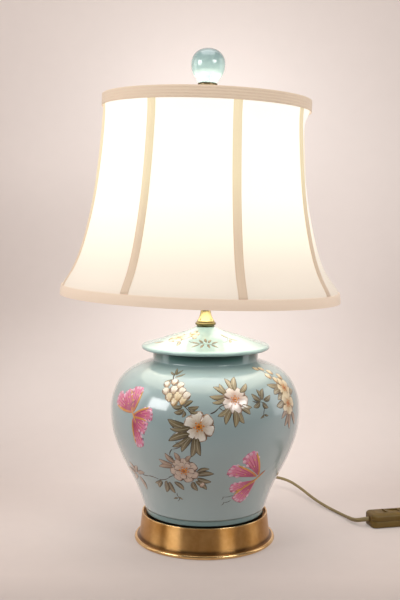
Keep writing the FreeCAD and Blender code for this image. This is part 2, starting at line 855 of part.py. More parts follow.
ring_top = lid_crown + size.ring_height
ring_line = [(size.ring_radius * across, lid_crown + size.ring_height * up)
             for across, up in RING_OUTLINE_SHARES]
turned("neck_ring", [
    (rod_hole_radius, lid_crown),
    ("line",) + ring_line[0],
    ("line",) + ring_line[1],
    ("arc",) + ring_line[2] + ring_line[3],
    ("line",) + ring_line[4],
    ("line", rod_hole_radius, ring_top),
])
bell_top = ring_top + size.bell_height
bell_fall = size.bell_foot_radius - size.bell_top_radius
turned("neck_bell", [
    (rod_hole_radius, ring_top),
    ("line", size.bell_foot_radius, ring_top),
    ("line", size.bell_foot_radius, ring_top + size.bell_lip_height),
    ("curve", [(size.bell_top_radius + bell_fall * across, ring_top + size.bell_height * up)
               for across, up in BELL_OUTLINE_SHARES]),
    ("line", rod_hole_radius, bell_top),
])

saddle_top = bell_top + size.saddle_thickness
rod_bottom = nut_height - size.rod_tail
ring("lamp_rod", size.rod_radius, size.rod_bore_radius,
     saddle_top + size.rod_tip_rise - rod_bottom, rod_bottom)
ear_top = saddle_top + size.saddle_ear_height
ear_inside = size.saddle_half_width - size.saddle_thickness
harp_saddle, saddle_pad = padded_outline("harp_saddle", [
    (-size.saddle_half_width, bell_top),
    ("line", size.saddle_half_width, bell_top),
    ("line", size.saddle_half_width, saddle_top),
    ("line", -size.saddle_half_width, saddle_top),
], size.saddle_depth, "XZ_Plane")
saddle_pad.Midplane = True
ear_sketch = new_sketch(harp_saddle, "XZ_Plane", "saddle_ears")
for side in (1, -1):
    closed_outline(ear_sketch, [
        (ear_inside * side, bell_top),
        ("line", size.saddle_half_width * side, bell_top),
        ("line", size.saddle_half_width * side, ear_top),
        ("line", ear_inside * side, ear_top),
    ])
ear_pad = harp_saddle.newObject("PartDesign::Pad", "saddle_ears_pad")
ear_pad.Profile = ear_sketch
ear_pad.Length = size.saddle_ear_width.value
bind(ear_pad, "Length", size.saddle_ear_width)
ear_pad.Midplane = True
pocket(harp_saddle, "saddle_hole", "XY_Plane", lambda sketch: circle_in(sketch, rod_hole_radius),
       saddle_top * 2 + size.cut_overrun, both_ways=True)

# Harp: one bent wire, the two sleeves that lock it, and the seat with its stud.

sleeve_inner = size.sleeve_radius - size.sleeve_wall
leg_x = size.saddle_half_width + size.harp_wire_radius + size.bush_running_gap * 2
sleeve_x = leg_x + size.harp_wire_radius + size.bush_running_gap - sleeve_inner
wire_top = size.hub_world_height - size.seat_thickness - size.seat_gap - size.harp_wire_radius
half_harp = [
    (leg_x, saddle_top + size.sleeve_lift),
    (leg_x, saddle_top + size.harp_leg_height),
    (size.harp_half_width, saddle_top + size.harp_swell_height),
    (size.harp_half_width, saddle_top + size.harp_shoulder_height),
    (size.harp_shoulder_half_width, saddle_top + size.harp_upper_height),
    (size.harp_crown_half_width, wire_top),
]
harp_route = [(across.value, 0, up.value) for across, up in half_harp]
harp_route += [(-across, back, up) for across, back, up in harp_route[::-1]]
harp_wire_path, harp_least_arc = rounded_route(harp_route)
print("harp: least arc radius %.1f" % harp_least_arc)
shaped("harp_wire", tube(harp_wire_path, size.harp_wire_radius.value))
for name, side in (("harp_sleeve_left", -1), ("harp_sleeve_right", 1)):
    sleeve = ring(name, size.sleeve_radius, sleeve_inner, size.sleeve_length, 0)
    place(sleeve, across=sleeve_x * side, up=saddle_top + size.sleeve_lift)

harp_seat = turned("harp_seat", [
    (0, 0),
    ("line", size.seat_radius, 0),
    ("line", size.seat_radius, size.seat_thickness),
    ("line", size.stud_radius, size.seat_thickness),
    ("line", size.stud_radius, size.seat_thickness + size.stud_length),
    ("line", 0, size.seat_thickness + size.stud_length),
])
lean(harp_seat, size.hub_seat_height - size.seat_thickness)

# Lamp holder: cap, shell, card liner, insulating core, screw shell, contact and terminals.

cap_wall_height = size.cap_height - size.holder_bead_height * CAP_BEAD_SHARE
turned("holder_cap", [
    (rod_hole_radius, saddle_top),
    ("line", size.cap_foot_radius, saddle_top),
    ("line", size.cap_foot_radius, saddle_top + size.cap_foot_height),
    ("line", size.cap_radius, saddle_top + cap_wall_height),
    ("line", size.cap_radius, saddle_top + size.cap_height),
    ("line", size.cap_radius - size.holder_wall, saddle_top + size.cap_height),
    ("line", size.cap_radius - size.holder_wall, saddle_top + cap_wall_height
     + size.holder_wall * 0.5),
    ("line", size.cap_foot_radius - size.holder_wall,
     saddle_top + size.cap_foot_height + size.holder_wall),
    ("line", rod_hole_radius, saddle_top + size.cap_foot_height + size.holder_wall),
])
shell_base = saddle_top + cap_wall_height + size.liner_gap
shell_inner = size.cap_radius + size.liner_gap
shell_top = shell_base + size.holder_length
turned("holder_shell", [
    (shell_inner, shell_base),
    ("arc", shell_inner + size.holder_wall * 2, shell_base + size.holder_bead_height * 0.5,
     shell_inner + size.holder_wall, shell_base + size.holder_bead_height),
    ("line", shell_inner + size.holder_wall, shell_top - size.holder_bead_height),
    ("arc", shell_inner + size.holder_wall * 2, shell_top - size.holder_bead_height * 0.5,
     shell_inner, shell_top),
])
liner_base = saddle_top + size.cap_height + size.liner_gap
liner_outer = shell_inner - size.liner_gap
liner_inner = liner_outer - size.liner_thickness
ring("holder_liner", liner_outer, liner_inner, shell_top - liner_base - size.holder_bead_height,
     liner_base)
core_base = saddle_top + cap_wall_height + size.holder_wall
core_radius = size.cap_radius - size.holder_wall - size.liner_gap * 2
core_top = core_base + size.core_height
ring("holder_core", core_radius, 0, size.core_height, core_base)
shell_ridge = size.screw_shell_radius
screw_shell = ring("screw_shell", shell_ridge, shell_ridge - size.screw_shell_wall,
                   size.screw_shell_length, core_top)
contact_arm = size.contact_length * 0.5
contact_rise = size.bulb_lift - size.contact_thickness
spring_low, spring_high, spring_foot = [size.contact_thickness * share
                                        for share in CONTACT_SPRING_SHARES]
centre_contact, contact_pad = padded_outline("centre_contact", [
    (-contact_arm, core_top),
    ("line", contact_arm, core_top),
    ("line", contact_arm, core_top + size.contact_thickness),
    ("line", -contact_arm + size.contact_thickness, core_top + size.contact_thickness),
    ("line", contact_arm * 0.5, core_top + contact_rise + spring_low),
    ("line", contact_arm * 0.5, core_top + contact_rise + spring_high),
    ("line", -contact_arm, core_top + spring_foot),
], size.contact_width, "XZ_Plane")
contact_pad.Midplane = True

terminal_screws = [
    Part.makeCylinder(size.terminal_radius.value, size.terminal_length.value,
                      Vector(size.terminal_offset.value * side, 0,
                             core_base.value - size.terminal_length.value))
    for side in (1, -1)]
shaped("terminal_screws", Part.makeCompound(terminal_screws))

# Bulb: threaded cap with its tip, glass, stem and filament.

bulb_base = core_top + size.bulb_lift + size.contact_thickness
ridge_step = size.bulb_cap_height / CAP_STEPS
ridges = []
for turn in range(CAP_RIDGE_COUNT):
    low = ridge_step * (turn * 2 + FIRST_RIDGE_STEPS)
    ridges += [
        ("arc", size.bulb_cap_radius + size.bulb_cap_ridge, low + ridge_step * 0.5,
         size.bulb_cap_radius, low + ridge_step),
        ("line", size.bulb_cap_radius, low + ridge_step * 2),
    ]
cap_bore = size.bulb_cap_radius - size.bulb_cap_wall
bulb_cap = turned("bulb_cap", [
    (0, 0),
    ("line", size.bulb_tip_radius, size.bulb_tip_height * TIP_FLARE_SHARE),
    ("line", size.bulb_tip_radius, size.bulb_tip_height),
    ("line", size.bulb_cap_radius, ridge_step * FIRST_RIDGE_STEPS),
] + ridges + [
    ("line", size.bulb_cap_radius, size.bulb_cap_height),
    ("line", cap_bore, size.bulb_cap_height),
    ("line", cap_bore, ridge_step * 2),
    ("line", 0, size.bulb_tip_height + size.bulb_cap_wall),
])
place(bulb_cap, up=bulb_base)

glass_base = bulb_base + size.bulb_cap_height
bulb_curve = [(size.bulb_radius * radius, size.bulb_height * height)
              for height, radius in BULB_OUTLINE_SHARES]
glass_hollow = inner_points(bulb_curve, size.bulb_glass)
bulb_glass = turned("bulb_glass", [
    bulb_curve[0],
    ("curve", bulb_curve[1:]),
    ("line", 0, size.bulb_height - size.bulb_glass),
    ("curve", glass_hollow[1:-1] + [(bulb_curve[0][0] - size.bulb_glass, 0)]),
])
place(bulb_glass, up=glass_base)
stem_flare = bulb_curve[0][0] - size.bulb_glass - size.liner_gap * 3
bulb_stem = turned("bulb_stem", [
    (0, 0),
    ("line", stem_flare, 0),
    ("line", stem_flare, size.bulb_glass),
    ("line", size.bulb_stem_radius, size.bulb_stem_radius * 2),
    ("line", size.bulb_stem_radius * STEM_TOP_SHARE, size.bulb_stem_height),
    ("line", 0, size.bulb_stem_height),
])
place(bulb_stem, up=glass_base)
filament_base = glass_base + size.bulb_stem_height + size.filament_radius
filament_foot = size.bulb_stem_radius * FILAMENT_FOOT_SHARE
filament_route = [
    (-filament_foot.value, 0, filament_base.value),
    (-size.filament_half_width.value, 0, (filament_base + size.filament_rise).value),
    (size.filament_half_width.value, 0, (filament_base + size.filament_rise).value),
    (filament_foot.value, 0, filament_base.value),
]
filament_path, _ = rounded_route(filament_route)
shaped("bulb_filament", tube(filament_path, size.filament_radius.value))

# Shade frame, in its own leaning frame: hub, arms, two rings and the ribs.


def shade_radius(progress):
    """Rib radius where the outline has gone the given share from lower to upper edge."""
    return (size.shade_bottom_radius
            + (size.shade_top_radius - size.shade_bottom_radius) * progress).value


def leaning(label, shape, height=None):
    """A computed node placed in the shade's frame."""
    item = shaped(label, shape)
    lean(item, height)
    return item


rib_inset = size.cloth_thickness + size.rib_gap + size.rib_wire_radius
ring_inset = size.cloth_thickness + size.ring_gap + size.ring_wire_radius
ring_margin = size.ring_wire_radius + size.ring_gap
hub = ring("shade_hub", size.hub_radius, size.hub_hole_radius, size.hub_thickness, 0)
lean(hub, size.hub_seat_height)

top_ring_radius = size.shade_top_radius - ring_inset
bottom_ring_radius = size.shade_bottom_radius - ring_inset
for name, radius, height in (
        ("shade_top_ring", top_ring_radius, size.shade_height - ring_margin),
        ("shade_bottom_ring", bottom_ring_radius, ring_margin)):
    wire_ring = doc.addObject("Part::Torus", "Shape_" + name)
    wire_ring.Label = name
    wire_ring.Radius1 = radius.value
    wire_ring.Radius2 = size.ring_wire_radius.value
    bind(wire_ring, "Radius1", radius)
    bind(wire_ring, "Radius2", size.ring_wire_radius)
    nodes.append(wire_ring)
    lean(wire_ring, height)

arm_start = Vector((size.hub_radius + size.thread_gap).value, 0,
                   (size.hub_seat_height + size.hub_thickness * 0.5).value)
arm_end = Vector((top_ring_radius - size.ring_wire_radius - size.thread_gap).value, 0,
                 (size.shade_height - ring_margin).value)
arm = Part.makeCylinder(size.arm_wire_radius.value, arm_start.distanceToPoint(arm_end),
                        arm_start, arm_end - arm_start)
first_rib = size.first_rib_angle.value - RIGHT_ANGLE
leaning("shade_arms", Part.makeCompound(
    [turn_about_z(arm, first_rib + ARM_ANGLE * number) for number in range(ARM_COUNT)]))

rib_foot = (ring_margin + size.ring_wire_radius + size.thread_gap).value
rib_head = (size.shade_height - ring_margin - size.ring_wire_radius - size.thread_gap).value
rib_spots = [(shade_radius(progress) - rib_inset.value, 0, size.shade_height.value * share)
             for share, progress, _ in SHADE_OUTLINE_SHARES]
rib_spots = ([(rib_spots[1][0], 0, rib_foot)]
             + [spot for spot in rib_spots
                if rib_foot + ring_margin.value < spot[2] < rib_head - ring_margin.value]
             + [(rib_spots[-1][0], 0, rib_head)])
rib_path = smooth_route(rib_spots, Vector(0, 0, 1), Vector(0, 0, 1))
rib = tube(rib_path, size.rib_wire_radius.value)
leaning("shade_ribs", Part.makeCompound(
    [turn_about_z(rib, first_rib + PANEL_ANGLE * number) for number in range(RIB_COUNT)]))


def outline_between(low, high):
    """The shade outline's rows from one height to another, as height, radius, drawn-in share."""
    total = size.shade_height.value
    for number, (share, progress, drawn_in) in enumerate(SHADE_OUTLINE_SHARES):
        height = total * share
        if number:
            for limit in (low, high):
                if last_height < limit < height:
                    part = (limit - last_height) / (height - last_height)
                    yield (limit, shade_radius(last_progress + (progress - last_progress) * part),
                           last_drawn_in + (drawn_in - last_drawn_in) * part)
        if low <= height <= high:
            yield height, shade_radius(progress), drawn_in
        last_height, last_progress, last_drawn_in = height, progress, drawn_in


def cloth_solid(middle_angle, outer_inset, thickness, low, high):
    """One panel between two ribs as a loft through level sections: round at the two rings and
    drawn in towards the straight line between its ribs where the cloth is pulled tight."""
    half = math.radians(PANEL_ANGLE / 2)
    turn = Rotation(Vector(0, 0, 1), middle_angle)
    sections = []
    for height, full_radius, drawn_in in outline_between(low, high):
        faces = []
        for inset in (outer_inset, outer_inset + thickness):
            radius = full_radius - inset
            middle = radius * (1 - drawn_in * (1 - math.cos(half)))
            faces.append([turn.multVec(Vector(across, along, height)) for across, along in (
                (radius * math.cos(half), -radius * math.sin(half)), (middle, 0),
                (radius * math.cos(half), radius * math.sin(half)))])
        outside, inside = faces
        sections.append(Part.Wire([
            Part.Arc(*outside).toShape(), Part.LineSegment(outside[2], inside[2]).toShape(),
            Part.Arc(*inside[::-1]).toShape(),
            Part.LineSegment(inside[0], outside[0]).toShape()]))
    return Part.makeLoft(sections, True, False)


panel_middles = [first_rib + PANEL_ANGLE * (number + 0.5) for number in range(RIB_COUNT)]
for number, middle_angle in enumerate(panel_middles, start=1):
    leaning("shade_panel_%d" % number, cloth_solid(
        middle_angle, 0, size.cloth_thickness.value, 0, size.shade_height.value))
lining_inset = (rib_inset + size.rib_wire_radius + size.cloth_gap).value
leaning("shade_lining", Part.makeCompound([
    cloth_solid(middle_angle, lining_inset, size.lining_thickness.value,
                size.lining_margin.value, (size.shade_height - size.lining_margin).value)
    for middle_angle in panel_middles]))

# Trim: a band on each ring and a tape over each rib.

top_band_inner = size.shade_top_radius + size.band_gap
top_band = turned("shade_top_band", [
    (top_band_inner, 0),
    ("line", top_band_inner + size.band_thickness, 0),
    ("line", top_band_inner + size.band_thickness, size.top_band_height + size.band_thickness),
    ("line", top_ring_radius - size.ring_wire_radius, size.top_band_height + size.band_thickness),
    ("line", top_ring_radius - size.ring_wire_radius, size.top_band_height + size.thread_gap),
    ("line", top_band_inner, size.top_band_height + size.thread_gap),
])
lean(top_band, size.shade_height - size.top_band_height)
band_fall = (size.shade_bottom_radius - size.shade_top_radius) * SHADE_OUTLINE_SHARES[2][1]
bottom_band_inner = size.shade_bottom_radius + size.band_gap
bottom_band = turned("shade_bottom_band", [
    (bottom_band_inner, 0),
    ("line", bottom_band_inner + size.band_thickness, 0),
    ("line", bottom_band_inner + size.band_thickness - band_fall, size.bottom_band_height),
    ("line", bottom_band_inner - band_fall, size.bottom_band_height),
    ("line", bottom_band_inner - band_fall * BAND_BULGE_SHARE, size.bottom_band_height * 0.5),
])
lean(bottom_band)

tape_sections = []
for share, progress, drawn_in in SHADE_OUTLINE_SHARES:
    height = size.shade_height.value * share
    if size.bottom_band_height.value < height < (size.shade_height - size.top_band_height).value:
        near = shade_radius(progress) + size.band_gap.value
        far = near + size.tape_thickness.value
        side = size.tape_width.value / 2
        tape_sections.append(Part.makePolygon([
            Vector(near, -side, height), Vector(far, -side, height), Vector(far, side, height),
            Vector(near, side, height), Vector(near, -side, height)]))
tape = Part.makeLoft(tape_sections, True, False)
leaning("shade_tapes", Part.makeCompound(
    [turn_about_z(tape, first_rib + PANEL_ANGLE * number) for number in range(RIB_COUNT)]))

# Finial: brass base and porcelain ball.

finial_bore = size.stud_radius + size.bush_running_gap
finial_top = size.finial_base_height
collar_base = finial_top - size.finial_collar_height
stud_room = size.stud_length
finial_base = turned("finial_base", [
    (finial_bore, 0),
    ("line", size.finial_base_radius, 0),
    ("line", size.finial_base_radius, size.finial_collar_height),
    ("curve", [
        (size.finial_waist_radius, finial_top * FINIAL_WAIST_SHARES[0]),
        (size.finial_waist_radius, finial_top * FINIAL_WAIST_SHARES[1]),
        (size.finial_collar_radius, collar_base),
    ]),
    ("line", size.finial_collar_radius, finial_top),
    ("line", 0, finial_top),
    ("line", 0, stud_room),
    ("line", finial_bore, stud_room),
])
finial_seat = size.hub_seat_height + size.hub_thickness + size.finial_gap
lean(finial_base, finial_seat)
ball = [(size.ball_radius * radius, size.ball_height * height)
        for height, radius in BALL_OUTLINE_SHARES]
finial_ball = turned("finial_ball", [
    (0, 0),
    ("line", ball[0][0], 0),
    ("curve", ball[1:]),
])
lean(finial_ball, finial_seat + finial_top)

# Lead held inside the lamp, from the holder down the rod and out through the bush.

boot_tip = rear_wall + size.boot_length
lead_floor = size.felt_thickness + size.board_thickness + size.cable_radius + size.lead_lift
hidden_path, hidden_least_arc = rounded_route([
    (0, 0, core_base.value),
    (0, 0, lead_floor.value),
    (0, size.lead_bend_run.value, lead_floor.value),
    (0, (rear_wall - size.bush_inner_length - size.lead_bend_run * LEAD_RISE_SHARE).value,
     size.cable_hole_height.value),
    (0, boot_tip.value, size.cable_hole_height.value),
])
print("supply_lead: length %.1f, least arc radius %.1f" % (hidden_path.Length, hidden_least_arc))
shaped("supply_lead", tube(hidden_path, size.cable_radius.value))

# Switch in the cable, in its own frame: x runs along it and z = 0 is the joint of its halves.

switch_half_height = size.switch_height * 0.5
half_width = size.switch_width * 0.5
switch_turn = Rotation(Vector(0, 0, 1), size.switch_bearing.value)
switch_heading = switch_turn.multVec(Vector(1, 0, 0))
switch_start = Vector(size.switch_start_x.value, size.switch_start_y.value,
                      switch_half_height.value)


def set_on_switch(item, along=0, up=0, tilt=0):
    """Place a node in the switch's frame."""
    item.Placement = Placement(
        switch_start + switch_heading * plain(along) + Vector(0, 0, plain(up)),
        switch_turn.multiply(Rotation(Vector(0, 1, 0), plain(tilt))))
    bind(item, ".Placement.Base.z", switch_half_height + up)


def rounded_plan(inset):
    """The switch's outline in plan, drawn in all round by the inset."""
    far = size.switch_length - inset
    side = half_width - inset
    corner = size.switch_corner - inset
    cut = corner * ROUND_CUT_SHARE
    near = size.switch_length - far
    return [
        (near + corner, -side),
        ("line", far - corner, -side),
        ("arc", far - cut, cut - side, far, corner - side),
        ("line", far, side - corner),
        ("arc", far - cut, side - cut, far - corner, side),
        ("line", near + corner, side),
        ("arc", near + cut, side - cut, near, side - corner),
        ("line", near, corner - side),
        ("arc", near + cut, cut - side, near + corner, -side),
    ]


def box_outline(low_x, low_y, high_x, high_y):
    """A rectangle as an outline."""
    return [(low_x, low_y), ("line", high_x, low_y), ("line", high_x, high_y),
            ("line", low_x, high_y)]


def round_far_edges(body, pad, radius, height):
    """Round the edges of a pad's far face, all at one height."""
    doc.recompute()
    names = ["Edge%d" % number for number, edge in enumerate(pad.Shape.Edges, start=1)
             if all(abs(vertex.Point.z - height) < NEAR for vertex in edge.Vertexes)]
    fillet = body.newObject("PartDesign::Fillet", pad.Name + "_round")
    fillet.Base = (pad, names)
    fillet.Radius = plain(radius)
    bind(fillet, "Radius", radius)


def added_pad(body, name, draw, depth, lift=0, flipped=False):
    """Add material to a body from a sketch on its XY plane drawn by draw(sketch)."""
    sketch = new_sketch(body, "XY_Plane", name)
    sketch.AttachmentOffset.Base.z = plain(lift)
    bind(sketch, ".AttachmentOffset.Base.z", lift)
    draw(sketch)
    pad = body.newObject("PartDesign::Pad", name + "_pad")
    pad.Profile = sketch
    pad.Length = plain(depth)
    bind(pad, "Length", depth)
    pad.Reversed = flipped
    doc.recompute()


def circles(radius, spots):
    """A drawing of equal circles at the given places."""
    return lambda sketch: [circle_in(sketch, radius, across, side, "spot%d" % number)
                           for number, (across, side) in enumerate(spots)]


switch_middle = size.switch_length * 0.5
switch_room = switch_half_height - size.switch_wall
pivot_up = size.rocker_pivot_height - switch_half_height
window_half = size.rocker_half_length + size.rocker_gap * 2
window_side = size.rocker_width * 0.5 + size.rocker_gap
hanger_side = window_side + size.rocker_pivot_length
hanger_half = size.rocker_pivot_radius * HANGER_SHARE
screw_side = size.switch_width * SCREW_SIDE_SHARE
screw_spots = [(switch_middle - size.switch_screw_inset, -screw_side),
               (switch_middle + size.switch_screw_inset, screw_side)]


def switch_half(label, upward, round_radius):
    """One half of the switch's case: a rounded tray with screw pillars, open at the joint and
    notched at both ends for the cable."""
    body, pad = padded_outline(label, rounded_plan(0), switch_half_height)
    pad.Reversed = not upward
    round_far_edges(body, pad, round_radius, switch_half_height.value * (1 if upward else -1))
    pocket(body, label + "_hollow", "XY_Plane",
           lambda sketch: closed_outline(sketch, rounded_plan(size.switch_wall)),
           switch_room, flipped=upward)
    added_pad(body, label + "_pillars", circles(size.switch_boss_radius, screw_spots),
              switch_room + size.switch_wall * 0.5, flipped=not upward)
    pocket(body, label + "_notches", "YZ_Plane", circles(bush_bore, [(0, 0)]),
           size.switch_length * 2 + size.cut_overrun, both_ways=True)
    set_on_switch(body)
    return body


screw_hole = size.switch_screw_radius + size.thread_gap
lower = switch_half("switch_lower", False, size.switch_bottom_round)
pocket(lower, "screw_holes", "XY_Plane", circles(screw_hole, screw_spots),
       size.switch_height + size.cut_overrun, both_ways=True)
pocket(lower, "screw_seats", "XY_Plane",
       circles(size.switch_screw_head_radius + size.thread_gap, screw_spots),
       size.switch_screw_head_height, flipped=True, lift=-switch_half_height)
upper = switch_half("switch_upper", True, size.switch_top_round)
screw_reach = size.switch_screw_length - switch_half_height + size.switch_screw_head_height
pocket(upper, "screw_bores", "XY_Plane", circles(screw_hole, screw_spots),
       screw_reach + size.rocker_gap, flipped=True)
added_pad(upper, "rocker_hangers",
          lambda sketch: closed_outline(sketch, box_outline(
              switch_middle - hanger_half, -hanger_side,
              switch_middle + hanger_half, hanger_side)),
          switch_room - pivot_up + hanger_half + size.switch_wall * 0.5,
          lift=pivot_up - hanger_half)
pocket(upper, "rocker_window", "XY_Plane",
       lambda sketch: closed_outline(sketch, box_outline(
           switch_middle - window_half, -window_side,
           switch_middle + window_half, window_side)),
       size.switch_height, flipped=True)
pocket(upper, "rocker_bearings", "XZ_Plane",
       circles(size.rocker_pivot_radius + size.thread_gap, [(switch_middle, pivot_up)]),
       hanger_side * 2 - size.rocker_gap, both_ways=True)

rocker, rocker_pad = padded_outline("switch_rocker", [
    (-size.rocker_half_length, size.rocker_end_rise),
    ("line", -size.rocker_half_length, size.rocker_end_rise - size.rocker_depth),
    ("line", -size.rocker_waist, -size.rocker_depth),
    ("line", size.rocker_waist, -size.rocker_depth),
    ("line", size.rocker_half_length, size.rocker_end_rise - size.rocker_depth),
    ("line", size.rocker_half_length, size.rocker_end_rise),
    ("arc", 0, size.rocker_mid_rise, -size.rocker_half_length, size.rocker_end_rise),
], size.rocker_width, "XZ_Plane")
rocker_pad.Midplane = True
pivot_sketch = new_sketch(rocker, "XZ_Plane", "rocker_pivots")
circle_in(pivot_sketch, size.rocker_pivot_radius)
pivot_pad = rocker.newObject("PartDesign::Pad", "rocker_pivots_pad")
pivot_pad.Profile = pivot_sketch
pivot_pad.Length = size.rocker_width.value + 2 * size.rocker_pivot_length.value
bind(pivot_pad, "Length", size.rocker_width + size.rocker_pivot_length * 2)
pivot_pad.Midplane = True
set_on_switch(rocker, switch_middle, pivot_up, size.rocker_tilt)

block_floor = -switch_room
terminal_blocks = [
    Part.makeBox(size.terminal_block_length.value, size.terminal_block_width.value,
                 size.terminal_block_height.value,
                 Vector(along.value, -size.terminal_block_width.value / 2, block_floor.value))
    for along in (size.terminal_block_inset,
                  size.switch_length - size.terminal_block_inset - size.terminal_block_length)]
set_on_switch(shaped("switch_terminals", Part.makeCompound(terminal_blocks)))

case_screws = []
for across, side in screw_spots:
    foot = Vector(across.value, side.value, -switch_half_height.value)
    head = Part.makeCylinder(size.switch_screw_head_radius.value,
                             size.switch_screw_head_height.value, foot)
    shank = Part.makeCylinder(size.switch_screw_radius.value, size.switch_screw_length.value,
                              foot + Vector(0, 0, size.switch_screw_head_height.value))
    case_screws.append(head.fuse(shank).removeSplitter())
set_on_switch(shaped("switch_screws", Part.makeCompound(case_screws)))

# Free cable from the boot's tip to the switch.

entry_run = size.terminal_block_inset
route = [(0, boot_tip.value, size.cable_hole_height.value)] + CABLE_ROUTE
route.append(tuple(switch_start - switch_heading * (entry_run.value * ENTRY_SHARE)))
route.append(tuple(switch_start + switch_heading * entry_run.value))
lead_path, lead_least_arc = rounded_route(route)
print("cord_lead: length %.1f, least arc radius %.1f" % (lead_path.Length, lead_least_arc))
shaped("cord_lead", tube(lead_path, size.cable_radius.value))

# The rest of the cable, coiled in two layers beyond the switch: in on the lower layer, out on
# the upper one, then off to the plug.

up = Vector(0, 0, 1)
inside_far_end = switch_start + switch_heading * (size.switch_length - entry_run).value
far_end = switch_start + switch_heading * size.switch_length.value
straight_end = size.cable_radius.value * 2
run_out = far_end + switch_heading * straight_end
coil_start = far_end + switch_heading * size.coil_lead.value
coil_start.z = size.coil_lift.value
to_centre = switch_heading.cross(up)
coil_centre = coil_start + to_centre * size.coil_outer_radius.value
half_step = size.coil_turn_pitch.value / 2
upper_layer = (size.coil_lift + size.coil_layer_pitch).value
coil_edges = [Part.LineSegment(inside_far_end, run_out).toShape()]
coil_edges += two_arcs(run_out, switch_heading, coil_start, switch_heading)
spot = coil_start
heading = switch_heading
radius = size.coil_outer_radius.value
side = -1
layer_height = size.coil_lift.value
for half_turn in range(HALF_TURNS_INWARD + 1 + HALF_TURNS_OUTWARD):
    side = -side
    if half_turn < HALF_TURNS_INWARD:
        radius -= half_step
    elif half_turn == HALF_TURNS_INWARD:
        radius -= half_step
        layer_height = upper_layer
    elif half_turn == HALF_TURNS_INWARD + 1:
        radius += half_step * FIRST_STEP_OUT_SHARE
    else:
        radius += half_step
    finish = coil_centre + to_centre * (radius * side)
    finish.z = layer_height
    coil_edges += two_arcs(spot, heading, finish, -heading)
    spot = finish
    heading = -heading
quarter = coil_centre + heading * (radius + half_step / 2)
quarter.z = layer_height
tail_heading = -to_centre * side
coil_edges += two_arcs(spot, heading, quarter, tail_heading)
plug_face = quarter + tail_heading * size.tail_length.value
plug_face.z = size.plug_thickness.value / 2
tail_end = plug_face - tail_heading * straight_end
coil_edges += two_arcs(quarter, tail_heading, tail_end, tail_heading)
coil_edges.append(Part.LineSegment(tail_end, plug_face).toShape())
coil_path = Part.Wire(coil_edges)


def least_self_gap(path, radius, step):
    """The least gap between a tube's surface and itself, measured on points along its path."""
    points = path.discretize(Distance=step)
    apart = int(radius * 4 / step) + 1
    least = min(first.distanceToPoint(second)
                for number, first in enumerate(points)
                for second in points[number + apart:])
    return least - radius * 2


print("cord_coil: length %.1f, least gap to itself %.2f, inner radius %.1f" % (
    coil_path.Length, least_self_gap(coil_path, size.cable_radius.value, straight_end / 2),
    size.coil_outer_radius.value - (HALF_TURNS_INWARD + 1) * half_step))
shaped("cord_coil", tube(coil_path, size.cable_radius.value))

# Tie round the coil on the side away from the switch.

bundle_inner = (size.coil_outer_radius - size.coil_turn_pitch * (HALF_TURNS_INWARD / 2)
                - size.cable_radius - size.tie_gap)
bundle_outer = size.coil_outer_radius - size.coil_turn_pitch * 0.5 + size.cable_radius + size.tie_gap
bundle_low = size.coil_lift - size.cable_radius - size.tie_gap
bundle_high = size.coil_lift + size.coil_layer_pitch + size.cable_radius + size.tie_gap
coil_tie, tie_pad = padded_outline("coil_tie", box_outline(
    bundle_inner - size.tie_thickness, bundle_low - size.tie_thickness,
    bundle_outer + size.tie_thickness, bundle_high + size.tie_thickness),
    size.tie_width, "XZ_Plane")
tie_pad.Midplane = True
pocket(coil_tie, "tie_opening", "XZ_Plane",
       lambda sketch: closed_outline(sketch, box_outline(
           bundle_inner, bundle_low, bundle_outer, bundle_high)),
       size.tie_width * 2, both_ways=True)
coil_tie.Placement = Placement(
    Vector(coil_centre.x, coil_centre.y, 0),
    Rotation(Vector(1, 0, 0), to_centre))

# Plug: moulded body with its boot, and two round pins.

plug_half_thickness = size.plug_thickness * 0.5
shoulder_end = size.plug_boot_length + size.plug_shoulder_length
plug_turn = Rotation(Vector(1, 0, 0), tail_heading)
plug_body, plug_pad = padded_outline("plug_body", [
    (size.plug_boot_length, size.plug_waist_width * -0.5),
    ("line", shoulder_end, size.plug_width * -0.5),
    ("line", size.plug_length, size.plug_width * -0.5),
    ("line", size.plug_length, size.plug_width * 0.5),
    ("line", shoulder_end, size.plug_width * 0.5),
    ("line", size.plug_boot_length, size.plug_waist_width * 0.5),
], size.plug_thickness)
plug_pad.Midplane = True
doc.recompute()
long_edges = ["Edge%d" % number for number, edge in enumerate(plug_pad.Shape.Edges, start=1)
              if abs(edge.Vertexes[0].Point.z - edge.Vertexes[-1].Point.z) < NEAR]
plug_round = plug_body.newObject("PartDesign::Fillet", "plug_round")
plug_round.Base = (plug_pad, long_edges)
plug_round.Radius = size.plug_round.value
bind(plug_round, "Radius", size.plug_round)
boot_sketch = new_sketch(plug_body, "XZ_Plane", "plug_boot")
closed_outline(boot_sketch, [
    (0, 0),
    ("line", 0, size.plug_boot_width * 0.5),
    ("line", shoulder_end, size.plug_waist_width * PLUG_BOOT_SHARE),
    ("line", shoulder_end, 0),
])
boot_turn = plug_body.newObject("PartDesign::Revolution", "plug_boot_turn")
boot_turn.Profile = boot_sketch
boot_turn.ReferenceAxis = (boot_sketch, ["H_Axis"])
boot_turn.Angle = FULL_TURN
plug_body.Placement = Placement(plug_face, plug_turn)
pins = []
for pin_side in (-1, 1):
    root = Vector(size.plug_length.value, size.plug_pin_spacing.value / 2 * pin_side, 0)
    pins.append(Part.makeCylinder(size.plug_pin_radius.value, size.plug_pin_length.value,
                                  root, Vector(1, 0, 0)))
plug_pins = shaped("plug_pins", Part.makeCompound(pins))
plug_pins.Placement = Placement(plug_face, plug_turn)

# Everything is checked before any file is written.

